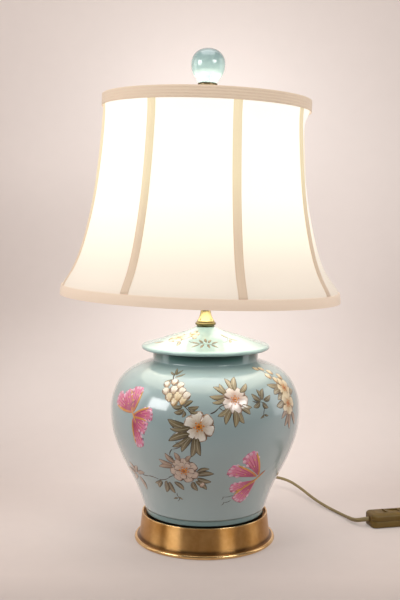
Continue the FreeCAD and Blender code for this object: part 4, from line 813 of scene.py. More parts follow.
@dataclass(frozen=True)
class Studio:
    """The photograph's camera, soft lights and a seamless pale backdrop."""

    eye: Place = (0.0, -1237.0, 416.5)
    focal: float = 970.7
    image_height: float = 600.0
    sensor: float = 36.0
    pitch: float = 4.92
    yaw: float = -0.34
    roll: float = 0.3
    paper_reach: float = 2600.0
    wall_back: float = 520.0
    curve: float = 260.0
    tone: Colour = (196, 180, 172)
    dust: Colour = (255, 240, 232)
    # Painted shade: the floor's tone near the camera, the unlit room in reflections.
    near_shade_tone: Colour = (72, 66, 62)
    light_tone: Colour = (255, 249, 245)
    warm: Colour = (255, 250, 240)
    least: float = 0.098

    # Name, watts, width and height, place; all aimed at the jar.
    LAMPS = (("overhead", 10.5, (1.2, 1.2), (0, -0.1, 1.7)),
             ("left_side", 2.5, (0.5, 1.1), (-1.3, 0.1, 0.6)),
             ("right_side", 2.5, (0.5, 1.1), (1.3, 0.15, 0.6)),
             ("left_window", 9.0, (0.72, 0.50), (-1.28, -0.78, 0.80)),
             ("right_window", 7.0, (0.62, 0.36), (0.97, -1.08, 0.90)))
    # Strength, then the middle across and along the paper, then width and height, in metres.
    POOLS = ((0.30, 0, 0.98, 0.20, 0.16), (0.28, 0, 0.62, 0.24, 0.14),
             (0.23, 0, 0.30, 0.30, 0.14), (0.19, 0, 0.05, 0.30, 0.14),
             (0.15, 0, 1.15, 0.40, 0.20), (0.16, 0.1, 0.80, 0.50, 0.30),
             (0.11, 0, 0.45, 0.15, 0.10), (0.12, -0.3, 0.50, 0.15, 0.12),
             (0.10, 0.3, 0.45, 0.15, 0.12), (0.07, 0.3, 0.90, 0.15, 0.20),
             (0.06, -0.3, 0.90, 0.12, 0.15))

    def camera(self) -> None:
        """Aim: forward = (sin y cos p, cos y cos p, -sin p), then roll about it."""
        p, y, r = (math.radians(a) for a in (self.pitch, self.yaw, self.roll))
        ahead = Vector((math.sin(y) * math.cos(p), math.cos(y) * math.cos(p), -math.sin(p)))
        right = Vector((math.cos(y), -math.sin(y), 0))
        up = right.cross(ahead)
        right, up = (right * math.cos(r) + up * math.sin(r),
                     up * math.cos(r) - right * math.sin(r))
        data = bpy.data.cameras.new("photo_camera")
        data.sensor_fit = "AUTO"
        data.sensor_width = self.sensor
        data.lens = self.focal * self.sensor / self.image_height
        data.clip_start, data.clip_end = 0.01, 20
        camera = linked("photo_camera", data)
        turn = Matrix((right, up, -ahead)).transposed().to_4x4()
        camera.matrix_world = Matrix.Translation(Vector(self.eye) * MM) @ turn
        bpy.context.scene.camera = camera

    def lamp(self, name: str, power: float, size: Spot, place: Place,
             aim: Place = (0, 0, 0.2), colour: Colour = (255, 255, 255)) -> None:
        """A soft rectangular light, in metres.

        Args:
            name: its name.
            power: in watts.
            size: width and height.
            place: where it stands.
            aim: where it points.
            colour: its screen colour.
        """
        data = bpy.data.lights.new(name, "AREA")
        data.shape, data.size, data.size_y = "RECTANGLE", *size
        data.energy, data.color = power, linear(colour)[:3]
        turn = (Vector(aim) - Vector(place)).to_track_quat("-Z", "Y").to_matrix().to_4x4()
        linked(name, data).matrix_world = Matrix.Translation(Vector(place)) @ turn

    def lights(self) -> None:
        """Soft light from above and both sides, two windows and the bulb's own glow."""
        for row in self.LAMPS:
            self.lamp(*row)
        self.lamp("shade_mouth", 0.14, (0.17, 0.17), (0, 0, 0.545), (0, 0, 1), self.warm)
        glow = bpy.data.lights.new("bulb_glow", "POINT")
        glow.energy, glow.color, glow.shadow_soft_size = 0.25, linear(self.warm)[:3], 0.06
        bulb = linked("bulb_glow", glow)
        bulb.location = (0, 0, 0.45)
        bulb.visible_camera = bulb.visible_glossy = False

    def room(self) -> None:
        """The room beyond the paper: dim light, and pale where it is looked at."""
        world = bpy.data.worlds.new("soft_room")
        tree = Tree(world)
        light = (tree.ray("Camera") * 0.66 + tree.ray("Transmission") * 0.66
                 + tree.ray("Glossy") * 0.06 + 0.12)
        background = tree.nodes["Background"]
        tree.put(background.inputs["Color"], (240, 232, 227))
        tree.put(background.inputs["Strength"], light)
        bpy.context.scene.world = world

    def backdrop(self) -> None:
        """Floor, a quarter-round sweep and a wall as one sheet; its UV is x and arc length."""
        bend = np.linspace(0, math.pi / 2, 24)
        y = np.concatenate([[-self.paper_reach, 0],
                            self.wall_back - self.curve * (1 - np.sin(bend)), [self.wall_back]])
        z = np.concatenate([[0, 0], self.curve * (1 - np.cos(bend)), [self.paper_reach]])
        run = run_along(stacked(y, z)) - self.paper_reach
        x = np.linspace(-self.paper_reach, self.paper_reach, 9)
        sheet = make_object("backdrop", grid(stacked(x, y[:, None], z[:, None]),
                                             stacked(x, run[:, None]) * MM))
        sheet.data.materials.append(self.paper())

    def paper(self) -> bpy.types.Material:
        """The backdrop's paper, painted dark near the camera as shade of the unlit room, which
        shiny surfaces reflect, while the camera sees only its light there.

        What the camera and shiny surfaces see on it is also a sum of soft round pools,
        a exp(-(x/w)^2 - ((s-c)/h)^2), the lamp's light on the paper. A camera behind the
        paper looks through it, and sees the front of the floor as pale as the rest.

        Returns:
            The material.
        """
        paint = Paint("backdrop_paper")
        side, run, _ = paint.split(paint.uv)
        # Painted shade: the floor darkens towards the camera.
        near = ((-0.14 - run) / 0.43).clamped()
        clean = paint.mix(paint.noise(paint.place, 40.0) * 0.06, self.tone, self.dust)
        light = (1.0 - near) * self.least
        for strength, across, middle, width, height in self.POOLS:
            pool = paint.bell((side, across, width), (run, middle, height))
            light = light + pool * strength
        camera = paint.ray("Camera")
        seen = camera | paint.ray("Glossy") | paint.ray("Transmission")
        front = ((-0.3 - run) / 0.5).clamped() * 0.5 * camera
        paint.set(Base_Color=paint.mix(near, clean, self.near_shade_tone), Roughness=0.9,
                  Emission_Color=self.light_tone, Emission_Strength=seen * light + front)
        behind = paint.add("NewGeometry", {}, "Backfacing") * camera
        paint.put(paint.output.inputs[0], paint.add("MixShader", {
            0: behind, 1: Value(paint, paint.shader.outputs[0]),
            2: paint.add("BsdfTransparent", {})}))
        return paint.material

    def build(self) -> None:
        """Camera, lights, backdrop and the plain view transform."""
        self.camera()
        self.lights()
        self.room()
        self.backdrop()
        bpy.context.scene.view_settings.view_transform = "Standard"


# Cable, switch and plug


@dataclass(frozen=True)
class Cable:
    """The supply cable: from the boot to the switch, then a coil put away and the plug."""

    radius: float = 2.1
    boot_tip: Place = (0.0, 104.18, 17.0)
    switch_start: Place = (222.0, 47.5, 10.0)
    bearing: float = 13.7
    switch_length: float = 64.0
    entry: float = 7.0
    coil_centre: Spot = (322.0, 34.2)
    low: float = 3.4
    high: float = 9.0
    turn_points: int = 14
    end_radius: float = 34.8
    tail: float = 34.0
    plug_height: float = 6.85

    # Where the cable lies between the boot and the switch.
    ROUTE = ((0, 143, 17), (14, 184, 16.5), (49, 219, 18), (92, 236, 18.5), (126, 229, 14.5),
             (145, 196, 9.5), (158, 159, 6), (173, 126, 3.6), (187, 99, 2.9),
             (197.9, 75.5, 3.2), (204.9, 52.6, 6))
    # The coil's radius at the end of each half turn.
    HALF_TURN_RADII = (36.6, 34.2, 31.8, 29.4, 27.0, 24.6, 22.2, 19.8, 17.4,
                       21.6, 24.0, 26.4, 28.8, 31.2, 33.6)
    # The plug from its boot on: distance, half width, half height and the power n.
    PLUG_KNOTS = ((13.5, 5.4, 5.1, 2.1), (18, 8.6, 6.1, 2.8), (23, 12.2, 6.7, 4.0),
                  (28, 12.9, 6.8, 5.0), (38, 12.9, 6.8, 5.0), (45.5, 12.9, 6.75, 5.0),
                  (47.4, 12.2, 6.3, 5.0), (48, 11.0, 5.3, 5.0))

    @property
    def ahead(self) -> Array:
        """The direction along the switch."""
        turn = math.radians(self.bearing)
        return np.array([math.cos(turn), math.sin(turn), 0])

    @property
    def out(self) -> Array:
        """The level direction to the right of it."""
        return np.cross(self.ahead, [0, 0, 1])

    @property
    def switch_end(self) -> Array:
        """Where the cable leaves the switch."""
        return np.array(self.switch_start) + self.ahead * self.switch_length

    @property
    def coil_side(self) -> Array:
        """The floor under the place where the cable leaves the coil for the plug."""
        return np.array([*self.coil_centre, 0]) + self.ahead * self.end_radius

    def curve(self, name: str, points: Array) -> Object:
        """A round cable on one open NURBS spline of order 3.

        Args:
            name: its name.
            points: its control points.

        Returns:
            The curve's object.
        """
        data = bpy.data.curves.new(name, "CURVE")
        data.dimensions = "3D"
        data.bevel_depth = self.radius * MM
        data.bevel_resolution = 5
        data.resolution_u = 10
        data.use_fill_caps = True
        spline = data.splines.new("NURBS")
        spline.points.add(len(points) - 1)
        homogeneous = np.concatenate([points * MM, np.ones((len(points), 1))], axis=1)
        spline.points.foreach_set("co", homogeneous.ravel())
        spline.order_u = 3
        spline.use_endpoint_u = True
        return linked(name, data)

    def lead(self) -> Array:
        """The length from the boot's tip to just inside the switch.

        Returns:
            Control points.
        """
        start = np.array(self.switch_start)
        ends = [start - self.ahead * self.entry * 0.9, start + self.ahead * self.entry]
        return np.array([self.boot_tip, *self.ROUTE, *ends], float)

    def coil(self) -> Array:
        """The coil: r(q) about its centre, with r going straight between the radii that each
        half turn ends at, widened by 1/cos(pi/n) that the spline takes in.

        Returns:
            Control points.
        """
        ahead, out, far = self.ahead, self.out, self.switch_end
        centre = np.array([*self.coil_centre, 0])
        half = self.turn_points // 2
        halves = len(self.HALF_TURN_RADII) - 1
        q = np.arange(1, halves * half + half // 2 + 1) / half
        radii = np.interp(q, np.arange(halves + 2), [*self.HALF_TURN_RADII, 36.0])
        radii = radii / math.cos(math.pi / self.turn_points)
        turn = q[:, None] * math.pi
        ring = centre + radii[:, None] * (ahead * np.sin(turn) - out * np.cos(turn))
        ring[:, 2] = np.interp(q, [0, 7, 8, 20], [self.low, self.low, self.high, self.high])
        first = centre - out * self.HALF_TURN_RADII[0]
        lead_in = np.array([far - ahead * self.entry, far + ahead * 4.2, far + ahead * 12,
                            first - ahead * 12, first + ahead * 3])
        lead_in[1:, 2] = (10, 8.6, self.low, self.low)
        tail = np.array([self.coil_side + out * along
                         for along in (9, 22, self.tail - 4, self.tail)])
        tail[:, 2] = (self.high, 7.6, self.plug_height, self.plug_height)
        return np.concatenate([lead_in, ring, tail])

    def plug_frame(self) -> Matrix:
        """The plug's own frame: X along it from the cable's end, Z up.

        Returns:
            Its place, in millimetres.
        """
        x, y, _ = self.coil_side + self.out * self.tail
        turn = Matrix((Vector(self.out), Vector(self.ahead), Vector((0, 0, 1)))).transposed()
        return Matrix.Translation((x, y, self.plug_height)) @ turn.to_4x4()

    def switch_frame(self) -> Matrix:
        """The switch's own frame on the floor: X along it from where the cable enters.

        Returns:
            Its place, in millimetres.
        """
        x, y, _ = self.switch_start
        return (Matrix.Translation((x, y, 0))
                @ Matrix.Rotation(math.radians(self.bearing), 4, "Z"))

    def sleeve(self) -> Surface:
        """A tapered rubber sleeve on the last bend before the switch.

        The cable's spline goes from middle to middle of its control edges by the curve
        (1-t)^2 A + 2t(1-t) P + t^2 B, with the control point P between them.

        Returns:
            A closed surface.
        """
        knots = self.lead()[-5:]
        middles = (knots[:-1] + knots[1:]) / 2
        t = np.linspace(0, 1, 15)[:, None]
        bends = [(1 - t) ** 2 * a + 2 * t * (1 - t) * p + t**2 * b
                 for a, p, b in zip(middles[:-1], knots[1:-1], middles[1:])]
        path = np.concatenate([bends[0][8:], bends[1][1:], bends[2][1:]])
        return sweep(path, circle(self.radius, 18), (0, 0, 1),
                     1.14 + 0.4 * np.linspace(0, 1, len(path)))

    def plug(self) -> Surface:
        """The moulded plug: |y/w|^n + |z/h|^n = 1 at each place, from its ribbed boot on.

        Returns:
            A closed surface.
        """
        ribs = [(0.5 + k, 3.9 + 0.12 * k - 0.5 * (k % 2), 3.9 + 0.1 * k - 0.5 * (k % 2), 2.0)
                for k in range(13)]
        table = np.concatenate([[(0, 0, 0, 2), (0, 3.5, 3.5, 2)], ribs,
                                smooth_line(self.PLUG_KNOTS, 60), [(48, 0, 0, 5)]])
        x, wide, high, power = (column[:, None] for column in table.T)
        cosine, sine = circle(1, 64).T
        y = wide * np.sign(cosine) * np.abs(cosine) ** (2 / power)
        z = high * np.sign(sine) * np.abs(sine) ** (2 / power)
        return grid(stacked(x, y, z)).outward().moved(self.plug_frame())

    def build(self) -> None:
        """The two free lengths, with the switch and the plug that are on them."""
        plug = made("plug_moulding", self.plug(), PLUG, "plug_body")
        lower, upper = Switch().build(self.switch_frame())
        sleeve = made("cable_sleeve", self.sleeve(), CORD, slot="cord")
        lead = dressed(self.curve("cable_to_switch", self.lead()), CORD, "cord_lead",
                       slot="cord")
        rest = dressed(self.curve("cable_coil", self.coil()), CORD, "cord_coil", slot="cord")


@dataclass(frozen=True)
class Switch:
    """The inline switch's case: two moulded halves with soft edges and a window for the key."""

    length: float = 64.0
    width: float = 30.0
    height: float = 20.0
    corner: float = 8.0
    wall: float = 2.2
    joint: float = 10.0
    gap: float = 0.15
    window: Spot = (11.0, 6.1)

    def oblong(self, half_length: float, half_width: float, corner: float,
               level: float) -> Array:
        """A rounded oblong about the switch's middle.

        Args:
            half_length: along the switch.
            half_width: across it.
            corner: the corners' rounding.
            level: its height.

        Returns:
            A closed ring.
        """
        x, y = half_length, half_width
        plan = softened([(-x, -y), (x, -y), (x, y), (-x, y)], corner, 11)
        return stacked(plan[:, 0] + self.length / 2, plan[:, 1], level)

    def case(self, *rows: Spot) -> list[Array]:
        """The case's own outline, drawn in by an inset at each height."""
        return [self.oblong(self.length / 2 - inset, self.width / 2 - inset,
                            max(self.corner - inset, 0.6), level) for inset, level in rows]

    @staticmethod
    def edge(reach: float, rise: float, start: float) -> list[Spot]:
        """A rounded edge: inset r (1 - cos q), height z + h sin q."""
        angle = np.linspace(0, math.pi / 2, 9)
        return [(reach * (1 - math.cos(q)), start + rise * math.sin(q)) for q in angle]

    def build(self, place: Matrix) -> list[Object]:
        """Both halves, as rings over one another and back to the first.

        Args:
            place: the switch's own frame.

        Returns:
            The lower and the upper half.
        """
        inner, top = self.wall, self.height
        over, under = self.joint + self.gap, self.joint - self.gap
        down = [(inset, -level) for inset, level in self.edge(3.0, 2.8, -3.0)]
        lower = [*self.case((inner, inner), (inner, under), (0.35, under),
                            (0, self.joint - 0.6), *down, (4.0, 0.2), (5.0, 0.7)),
                 *(self.oblong(0.01, 0.01, 0.004, level) for level in (0.7, inner))]
        upper = [*self.case((inner, over), (0.35, over), (0, self.joint + 0.6),
                            *self.edge(5.2, 4.4, top - 5.2), (7.0, top - 0.4)),
                 *(self.oblong(*self.window, 0.8, top - depth) for depth in (0.2, 0.9, 2.2)),
                 self.oblong(self.length / 2 - inner, self.width / 2 - inner, 5.0, top - 3.4)]
        return [made("switch_case_" + half, grid(np.stack([*rings, rings[0]])).outward()
                     .moved(place), SWITCH, "switch_" + half)
                for half, rings in (("lower", lower), ("upper", upper))]


# Foot, jar, lid and neck


@dataclass(frozen=True)
class Foot:
    """Turned brass foot with its felt."""

    bead_radius: float = 2.6
    radius: float = 90.8
    lift: float = 0.4
    skirt: float = 84.0
    skirt_height: float = 10.0
    rim: float = 81.0
    height: float = 36.5
    dish: float = 30.0
    wall: float = 1.2
    felt_radius: float = 84.4
    felt: float = 2.0

    def outline(self) -> Array:
        """Dish, rim, skirt, flare, bead and the inside, each corner rounded.

        Returns:
            Radius and height, closed.
        """
        middle, up = self.radius - self.bead_radius, self.lift + self.bead_radius
        angle = np.radians(np.linspace(60, -90, 14))
        bead = stacked(middle + self.bead_radius * np.cos(angle),
                       up + self.bead_radius * np.sin(angle))
        groove = bead[0] + [-1.1, 0.1]
        flare = smooth_line([(self.skirt, self.skirt_height),
                             (self.skirt + 0.9, self.skirt_height - 2.6), groove], 8)
        inner = self.rim - 2.0
        top = softened([(BORE, self.dish), (inner, self.dish), (inner, self.height),
                        (self.rim, self.height), (self.skirt, self.skirt_height)],
                       (0, 0.8, 0.9, 1.0, 0), 7, closed=False)
        back = np.array([(middle - self.bead_radius, up),
                         (groove[0] - self.bead_radius * 0.88, groove[1]),
                         (self.skirt - self.wall, self.skirt_height - self.wall * 0.6),
                         (inner + self.wall, self.dish - self.wall),
                         (BORE, self.dish - self.wall), (BORE, self.dish)])
        return np.concatenate([top, flare[1:], bead, back])

    def build(self) -> None:
        """The polished edges, lighter than the shell to carry painted highlights; the brass shell;
        and the felt with its rolled edge.
        """
        beads = ((self.radius - self.bead_radius, self.lift + self.bead_radius,
                  self.bead_radius + 0.05), (self.rim - 0.85, self.height - 0.6, 0.95))
        edges = [lathe(circle(size, 20) + [radius, height], 240) for radius, height, size in beads]
        made("brass_foot_highlight_edges", Surface.joined(edges), EDGE_HIGHLIGHT_BRASS, slot="brass")
        made("brass_foot", lathe(self.outline(), 240), FOOT_BRASS, "base_shell", slot="brass")
        felt = softened([(0, 0), (self.felt_radius, 0), (self.felt_radius, self.felt),
                         (0, self.felt)], (0, 0.7, 0.7, 0), 5, closed=False)
        made("felt_sole", lathe(felt, 160), FELT, "felt_pad")


@dataclass(frozen=True)
class Jar:
    """Ginger jar and its lid, with the outlines that the painting lies on."""

    radius: float = 121.1
    base: float = 31.2
    foot_radius: float = 76.2
    step: float = 44.8
    body_height: float = 189.1
    neck_radius: float = 67.4
    neck_top: float = 246.5
    wall: float = 4.6
    floor: float = 7.0
    hole: float = 6.0
    lid_base: float = 247.5
    lid_rise: float = 28.8
    lid_radius: float = 81.8
    spigot: float = 9.0

    # Shares of the height and of the radius.
    BODY_SHARES = ((0.000, 0.645), (0.103, 0.699), (0.209, 0.772), (0.315, 0.858),
                   (0.420, 0.928), (0.526, 0.980), (0.632, 1.000), (0.738, 0.990),
                   (0.817, 0.952), (0.880, 0.894), (0.928, 0.817), (0.966, 0.715),
                   (1.000, 0.570))
    # Shares of the radius and of the rise.
    LID_SHARES = ((0.945, 0.240), (0.896, 0.275), (0.719, 0.430), (0.542, 0.600),
                  (0.289, 0.815))
    # How far in from the lid's edge and how far up.
    LIP = ((2.9, 0.4), (0.9, 1.1), (0.0, 2.8), (0.3, 4.6), (1.7, 5.9))

    @property
    def crown(self) -> float:
        """The height of the lid's top."""
        return self.lid_base + self.lid_rise

    def belly(self, count: int = 120) -> Array:
        """The jar's belly, a spline through its shares.

        Args:
            count: of points.

        Returns:
            Radius and height from the foot step to the neck.
        """
        return smooth_line([(self.radius * r, self.step + self.body_height * h)
                            for h, r in self.BODY_SHARES], count)

    def slope(self, count: int = 60) -> Array:
        """The lid's top, a spline through its shares.

        Args:
            count: of points.

        Returns:
            Radius and height from the lip to the crown.
        """
        rows = [(self.lid_radius * r, self.lid_base + self.lid_rise * h)
                for r, h in self.LID_SHARES]
        return smooth_line([*rows, (12.0, self.crown)], count)

    def body_outline(self) -> Array:
        """Foot ring, belly, neck and lip outside; inside, the belly moved in by the wall.

        Returns:
            Radius and height, closed.
        """
        belly = self.belly()
        low, high, neck = belly[0], belly[-1], self.neck_radius
        foot = softened([(self.hole, self.base), (self.foot_radius, self.base),
                         (self.foot_radius, self.step), tuple(low)],
                        (0, 1.2, 1.2, 0), 6, closed=False)
        top = softened([tuple(high), (neck, high[1] + 0.8), (neck, self.neck_top),
                        (neck - self.wall, self.neck_top),
                        (neck - self.wall, high[1] - self.wall)],
                       (0, 1.6, 1.6, 0.8, 0), 6, closed=False)
        ahead = unit(np.gradient(belly, axis=0))
        inner = belly + stacked(-ahead[:, 1], ahead[:, 0]) * self.wall
        inner = inner[(inner[:, 0] > neck - self.wall) & (inner[:, 1] > self.base + 12)][::-1]
        up = self.base + self.floor
        return np.concatenate([foot, belly[1:], top[1:], inner,
                               [(inner[-1][0], up), (self.hole, up), (self.hole, self.base)]])

    def lid_outline(self) -> Array:
        """Lip, slope and crown outside; a hollow and a spigot below.

        Returns:
            Radius and height, closed.
        """
        slope = self.slope()
        lip = smooth_line([*((self.lid_radius - inward, self.lid_base + up)
                             for inward, up in self.LIP), tuple(slope[0])], 20)
        hollow, outer, end = 57.6, 61.6, self.lid_base - self.spigot
        under = [(BORE, self.crown), (BORE, self.crown - 5), (44.3, self.crown - 16.5),
                 (hollow, self.crown - 21.4), (hollow, end), (outer, end),
                 (outer, self.lid_base), (self.neck_radius, self.lid_base)]
        return np.concatenate([lip, slope[1:], under, lip[:1]])

    def build(self) -> None:
        """The jar and the lid."""
        made("porcelain_jar", lathe(self.body_outline(), 256), JAR_GLAZE, "jar_body")
        made("porcelain_lid", lathe(self.lid_outline(), 224), LID_GLAZE, "jar_lid")


@dataclass(frozen=True)
class Neck:
    """Brass ring on the lid's crown and the hollow bell above it."""

    crown: float
    ring_height: float = 6.2
    bell_height: float = 17.0

    def build(self) -> None:
        """Both turned pieces, their outsides smooth curves between flat ends."""
        crown = self.crown
        base = crown + self.ring_height
        top = base + self.bell_height
        ring = np.concatenate([
            [(BORE, crown), (11.1, crown)],
            smooth_line([(11.4, crown + 1.5), (12.9, crown + 2.6), (13.2, crown + 3.7),
                         (12.8, crown + 5.0), (11.9, crown + 5.95)], 18),
            [(11.6, base), (BORE, base), (BORE, crown)]])
        made("brass_neck_ring", lathe(ring, 96), RING_BRASS, "neck_ring", slot="brass")
        bell = np.concatenate([
            [(BORE, base), (10.7, base), (11.0, base + 0.3)],
            smooth_line([(11.0, base + 1.2), (9.214, base + 4.08), (7.522, base + 8.5),
                         (6.582, base + 12.92), (6.3, top)], 24),
            [(BORE, top), (BORE, base)]])
        made("brass_bell", lathe(bell, 96), BELL_BRASS, "neck_bell", slot="brass")


# Painted blossom and butterflies


class Law(Enum):
    """How a stroke's half width goes from root to tip: v^a (1 - v)^b over its greatest value."""

    PETAL = (0.62, 0.34)
    LEAF = (0.62, 0.8)
    BUD = (0.5, 0.5)
    WING = (1.0, 0.2)
    LINE = (0.16, 0.35)


def stroke_width(a: Any, b: Any, v: Any) -> Any:
    """v^a (1 - v)^b over its greatest value, which it has at v = a / (a + b)."""
    most = (a / (a + b)) ** a * (b / (a + b)) ** b
    return np.maximum(v, 0) ** a * np.maximum(1 - v, 0) ** b / most


@dataclass(frozen=True)
class Ink:
    """A stroke's colours: at its tip, at its root and on its outline, and how much of each."""

    fill: Colour
    root: Colour
    edge: Colour
    rim: float = 1.0
    vein: float = 0.0


PETAL_INK = Ink((248, 240, 228), (196, 164, 128), (134, 94, 58), 1.0, 0.5)
BLUSH_INK = Ink((248, 234, 224), (208, 166, 142), (146, 102, 70), 0.95, 0.5)
ROSE_INK = Ink((216, 194, 178), (176, 142, 122), (112, 82, 62), 0.95, 0.6)
GOLD_INK = Ink((246, 230, 196), (206, 166, 108), (140, 102, 52), 0.95, 0.5)
LEAF_INK = Ink((138, 124, 92), (96, 84, 56), (48, 38, 22), 1.0, 0.8)
PALE_LEAF_INK = Ink((168, 152, 116), (130, 112, 76), (78, 60, 32), 1.0, 0.8)
BROWN_LEAF_INK = Ink((182, 156, 136), (146, 116, 94), (96, 68, 50), 1.0, 0.8)
TWIG_INK = Ink((74, 60, 42), (58, 46, 32), (50, 40, 30), 0.0)
HEART_INK = Ink((226, 146, 44), (200, 104, 26), (130, 66, 20), 0.4)
DARK_INK = Ink((150, 82, 30), (104, 48, 20), (84, 40, 20), 0.5)
WING_INK = Ink((236, 134, 168), (200, 56, 110), (216, 100, 146), 0.3)
DEEP_WING_INK = Ink((216, 84, 130), (178, 36, 92), (184, 50, 110), 0.0)
RIM_INK = Ink((248, 206, 222), (236, 160, 194), (232, 150, 186), 0.3)
GILT_INK = Ink((236, 172, 66), (206, 112, 30), (160, 80, 30), 0.5)
SPOT_INK = Ink((244, 206, 92), (230, 176, 70), (206, 140, 60), 0.2)
DOT_INK = Ink((112, 40, 96), (96, 34, 84), (90, 30, 80), 0.0)


class Brush:
    """Painted strokes that stand a hair above a turned surface.

    A stroke's point is A + (B - A) v + N (4 c v (1 - v) + (2u - 1) w(v)), in millimetres over
    the surface: A and B are its ends, N its left normal, c its bend and w its half width. Up
    the surface is the arc length, and sideways is the azimuth times the radius there.
    """

    ROWS, COLUMNS = 9, 5
    SUNK, LIFT, LAYER, CROWN = 0.3, 0.04, 0.035, 0.10
    TWIG_BEND = 1.2

    def __init__(self, line: Array) -> None:
        """Paint on a turned surface.

        Args:
            line: its outline of radius and height, going upwards.
        """
        ahead = unit(np.gradient(line, axis=0))
        self.line, self.run = line, run_along(line)
        self.normal = stacked(ahead[:, 1], -ahead[:, 0])
        self.turn = 0.0
        self.strokes: list[list[float]] = []
        self.inks: list[Ink] = []

    def flat(self, origin: Spot, spot: Spot) -> Spot:
        """Lay a spot out flat: azimuth times the radius there, and arc length.

        Args:
            origin: azimuth and height.
            spot: azimuth and height.

        Returns:
            Millimetres to the right of and above the origin.
        """
        arcs = np.interp([origin[1], spot[1]], self.line[:, 1], self.run)
        radius = np.interp(arcs[1], self.run, self.line[:, 0])
        return (math.radians(spot[0] - origin[0]) * radius, float(arcs[1] - arcs[0]))

    def dab(self, origin: Spot, start: Spot, end: Spot, width: float, law: Law, ink: Ink,
            bend: float = 0.0, layer: int = 0) -> None:
        """One stroke between two places.

        Args:
            origin: azimuth and height.
            start: its root, in millimetres from the origin.
            end: its tip, in the same way.
            width: at its widest.
            law: how its width goes.
            ink: its colours.
            bend: how far its middle is off the straight line.
            layer: how many strokes lie under it.
        """
        arc = float(np.interp(origin[1], self.line[:, 1], self.run))
        self.strokes.append([math.radians(origin[0] + self.turn), arc, *start, *end, width / 2,
                             bend, *law.value, layer])
        self.inks.append(ink)

    def stroke(self, start: Spot, end: Spot, width: float, law: Law, ink: Ink,
               bend: float = 0.0, layer: int = 0) -> None:
        """One stroke between two spots of azimuth and height."""
        self.dab(start, (0, 0), self.flat(start, end), width, law, ink, bend, layer)

    def twig(self, width: float, *spots: Spot) -> None:
        """A run of thin dark strokes that gets finer towards its end.

        Args:
            width: at its beginning.
            spots: azimuth and height of each joint.
        """
        for number, (start, end) in enumerate(zip(spots, spots[1:])):
            self.stroke(start, end, width * (1 - 0.5 * number / len(spots)), Law.LINE, TWIG_INK,
                        self.TWIG_BEND if number % 2 else -self.TWIG_BEND)

    def dot(self, origin: Spot, place: Spot, size: float, ink: Ink, layer: int) -> None:
        """A small round dab."""
        x, y = place
        self.dab(origin, (x - size / 2, y), (x + size / 2, y), size, Law.BUD, ink, 0, layer)

    def leaves(self, ink: Ink, bend: float, *leaves: tuple[float, ...]) -> None:
        """Leaves bent to one side and the other in turn.

        Args:
            ink: their colours.
            bend: how far their middles are off the straight line.
            leaves: azimuth and height of each root and tip, then its width.
        """
        for number, (*ends, width) in enumerate(leaves):
            self.stroke(tuple(ends[:2]), tuple(ends[2:]), width, Law.LEAF, ink,
                        bend * (-1) ** number, number % 3)

    def blossom(self, centre: Spot, radius: float, petals: int, turn: float,
                ink: Ink = PETAL_INK, rings: int = 1) -> None:
        """Rings of petals with a fold down each, then stamens round a dark middle.

        Args:
            centre: azimuth and height.
            radius: of the outer ring.
            petals: how many a ring has.
            turn: the first petal's angle from the right.
            ink: the petals' colours.
            rings: how many there are.
        """
        for ring in range(rings):
            reach = radius * (1 - 0.3 * ring)
            for number in range(petals):
                angle = math.radians(turn + (number + 0.5 * ring) * 360 / petals)
                across, up = math.cos(angle), math.sin(angle)
                self.dab(centre, (across * reach * 0.08, up * reach * 0.08),
                         (across * reach, up * reach), reach * 5.3 / petals, Law.PETAL, ink,
                         reach * 0.05 * (-1) ** number, number % 2 + ring * 2)
        for number in range(12):
            angle = math.radians(turn + number * 30)
            far = radius * (0.3 if number % 2 else 0.18)
            self.dot(centre, (math.cos(angle) * far, math.sin(angle) * far), radius * 0.12,
                     HEART_INK, 2 * rings + 1)
        self.dot(centre, (0, 0), radius * 0.34, HEART_INK, 2 * rings + 2)
        self.dot(centre, (0, 0), radius * 0.18, DARK_INK, 2 * rings + 3)

    def bud(self, place: Spot, size: float, lean: float = 1.0, ink: Ink = GOLD_INK) -> None:
        """A round bud of three folded petals over a small dark cup.

        Args:
            place: azimuth and height of its middle.
            size: its height.
            lean: how far its tip is to the right.
            ink: its colours.
        """
        self.dab(place, (-lean, -size * 0.62), (0, -size * 0.2), size * 0.4, Law.LEAF, LEAF_INK,
                 0, 1)
        foot = (-lean * 0.5, -size / 2)
        self.dab(place, foot, (lean, size / 2), size * 0.98, Law.BUD, ink, 0, 2)
        for number, side in enumerate((-0.3, 0.3)):
            self.dab(place, foot, (side * size + lean, size * 0.28), size * 0.5, Law.BUD, ink,
                     side * 3, number + 3)

    def wing(self, root: Spot, tip: Spot, width: float, bend: float, scallops: int,
             gilt: int, layer: int) -> None:
        """A wing: its fan, streaks, a scalloped pale rim, spots and a gilt leading edge.

        Args:
            root: azimuth and height where it starts.
            tip: azimuth and height where it ends.
            width: at its widest.
            bend: how far its middle is off the straight line.
            scallops: how many there are on its rim.
            gilt: 1 for a leading edge on its left and -1 on its right.
            layer: how many strokes lie under it.
        """
        end = self.flat(root, tip)
        length = math.hypot(*end)
        ahead = (end[0] / length, end[1] / length)

        def at(along: float, across: float) -> Spot:
            """The place at a share of the length and of the half width.

            Args:
                along: a share of the length.
                across: a share of the half width.

            Returns:
                The place in millimetres from the root.
            """
            wide = float(stroke_width(*Law.WING.value, along)) * width / 2
            off = 4 * bend * along * (1 - along) + across * wide
            return (ahead[0] * along * length - ahead[1] * off,
                    ahead[1] * along * length + ahead[0] * off)

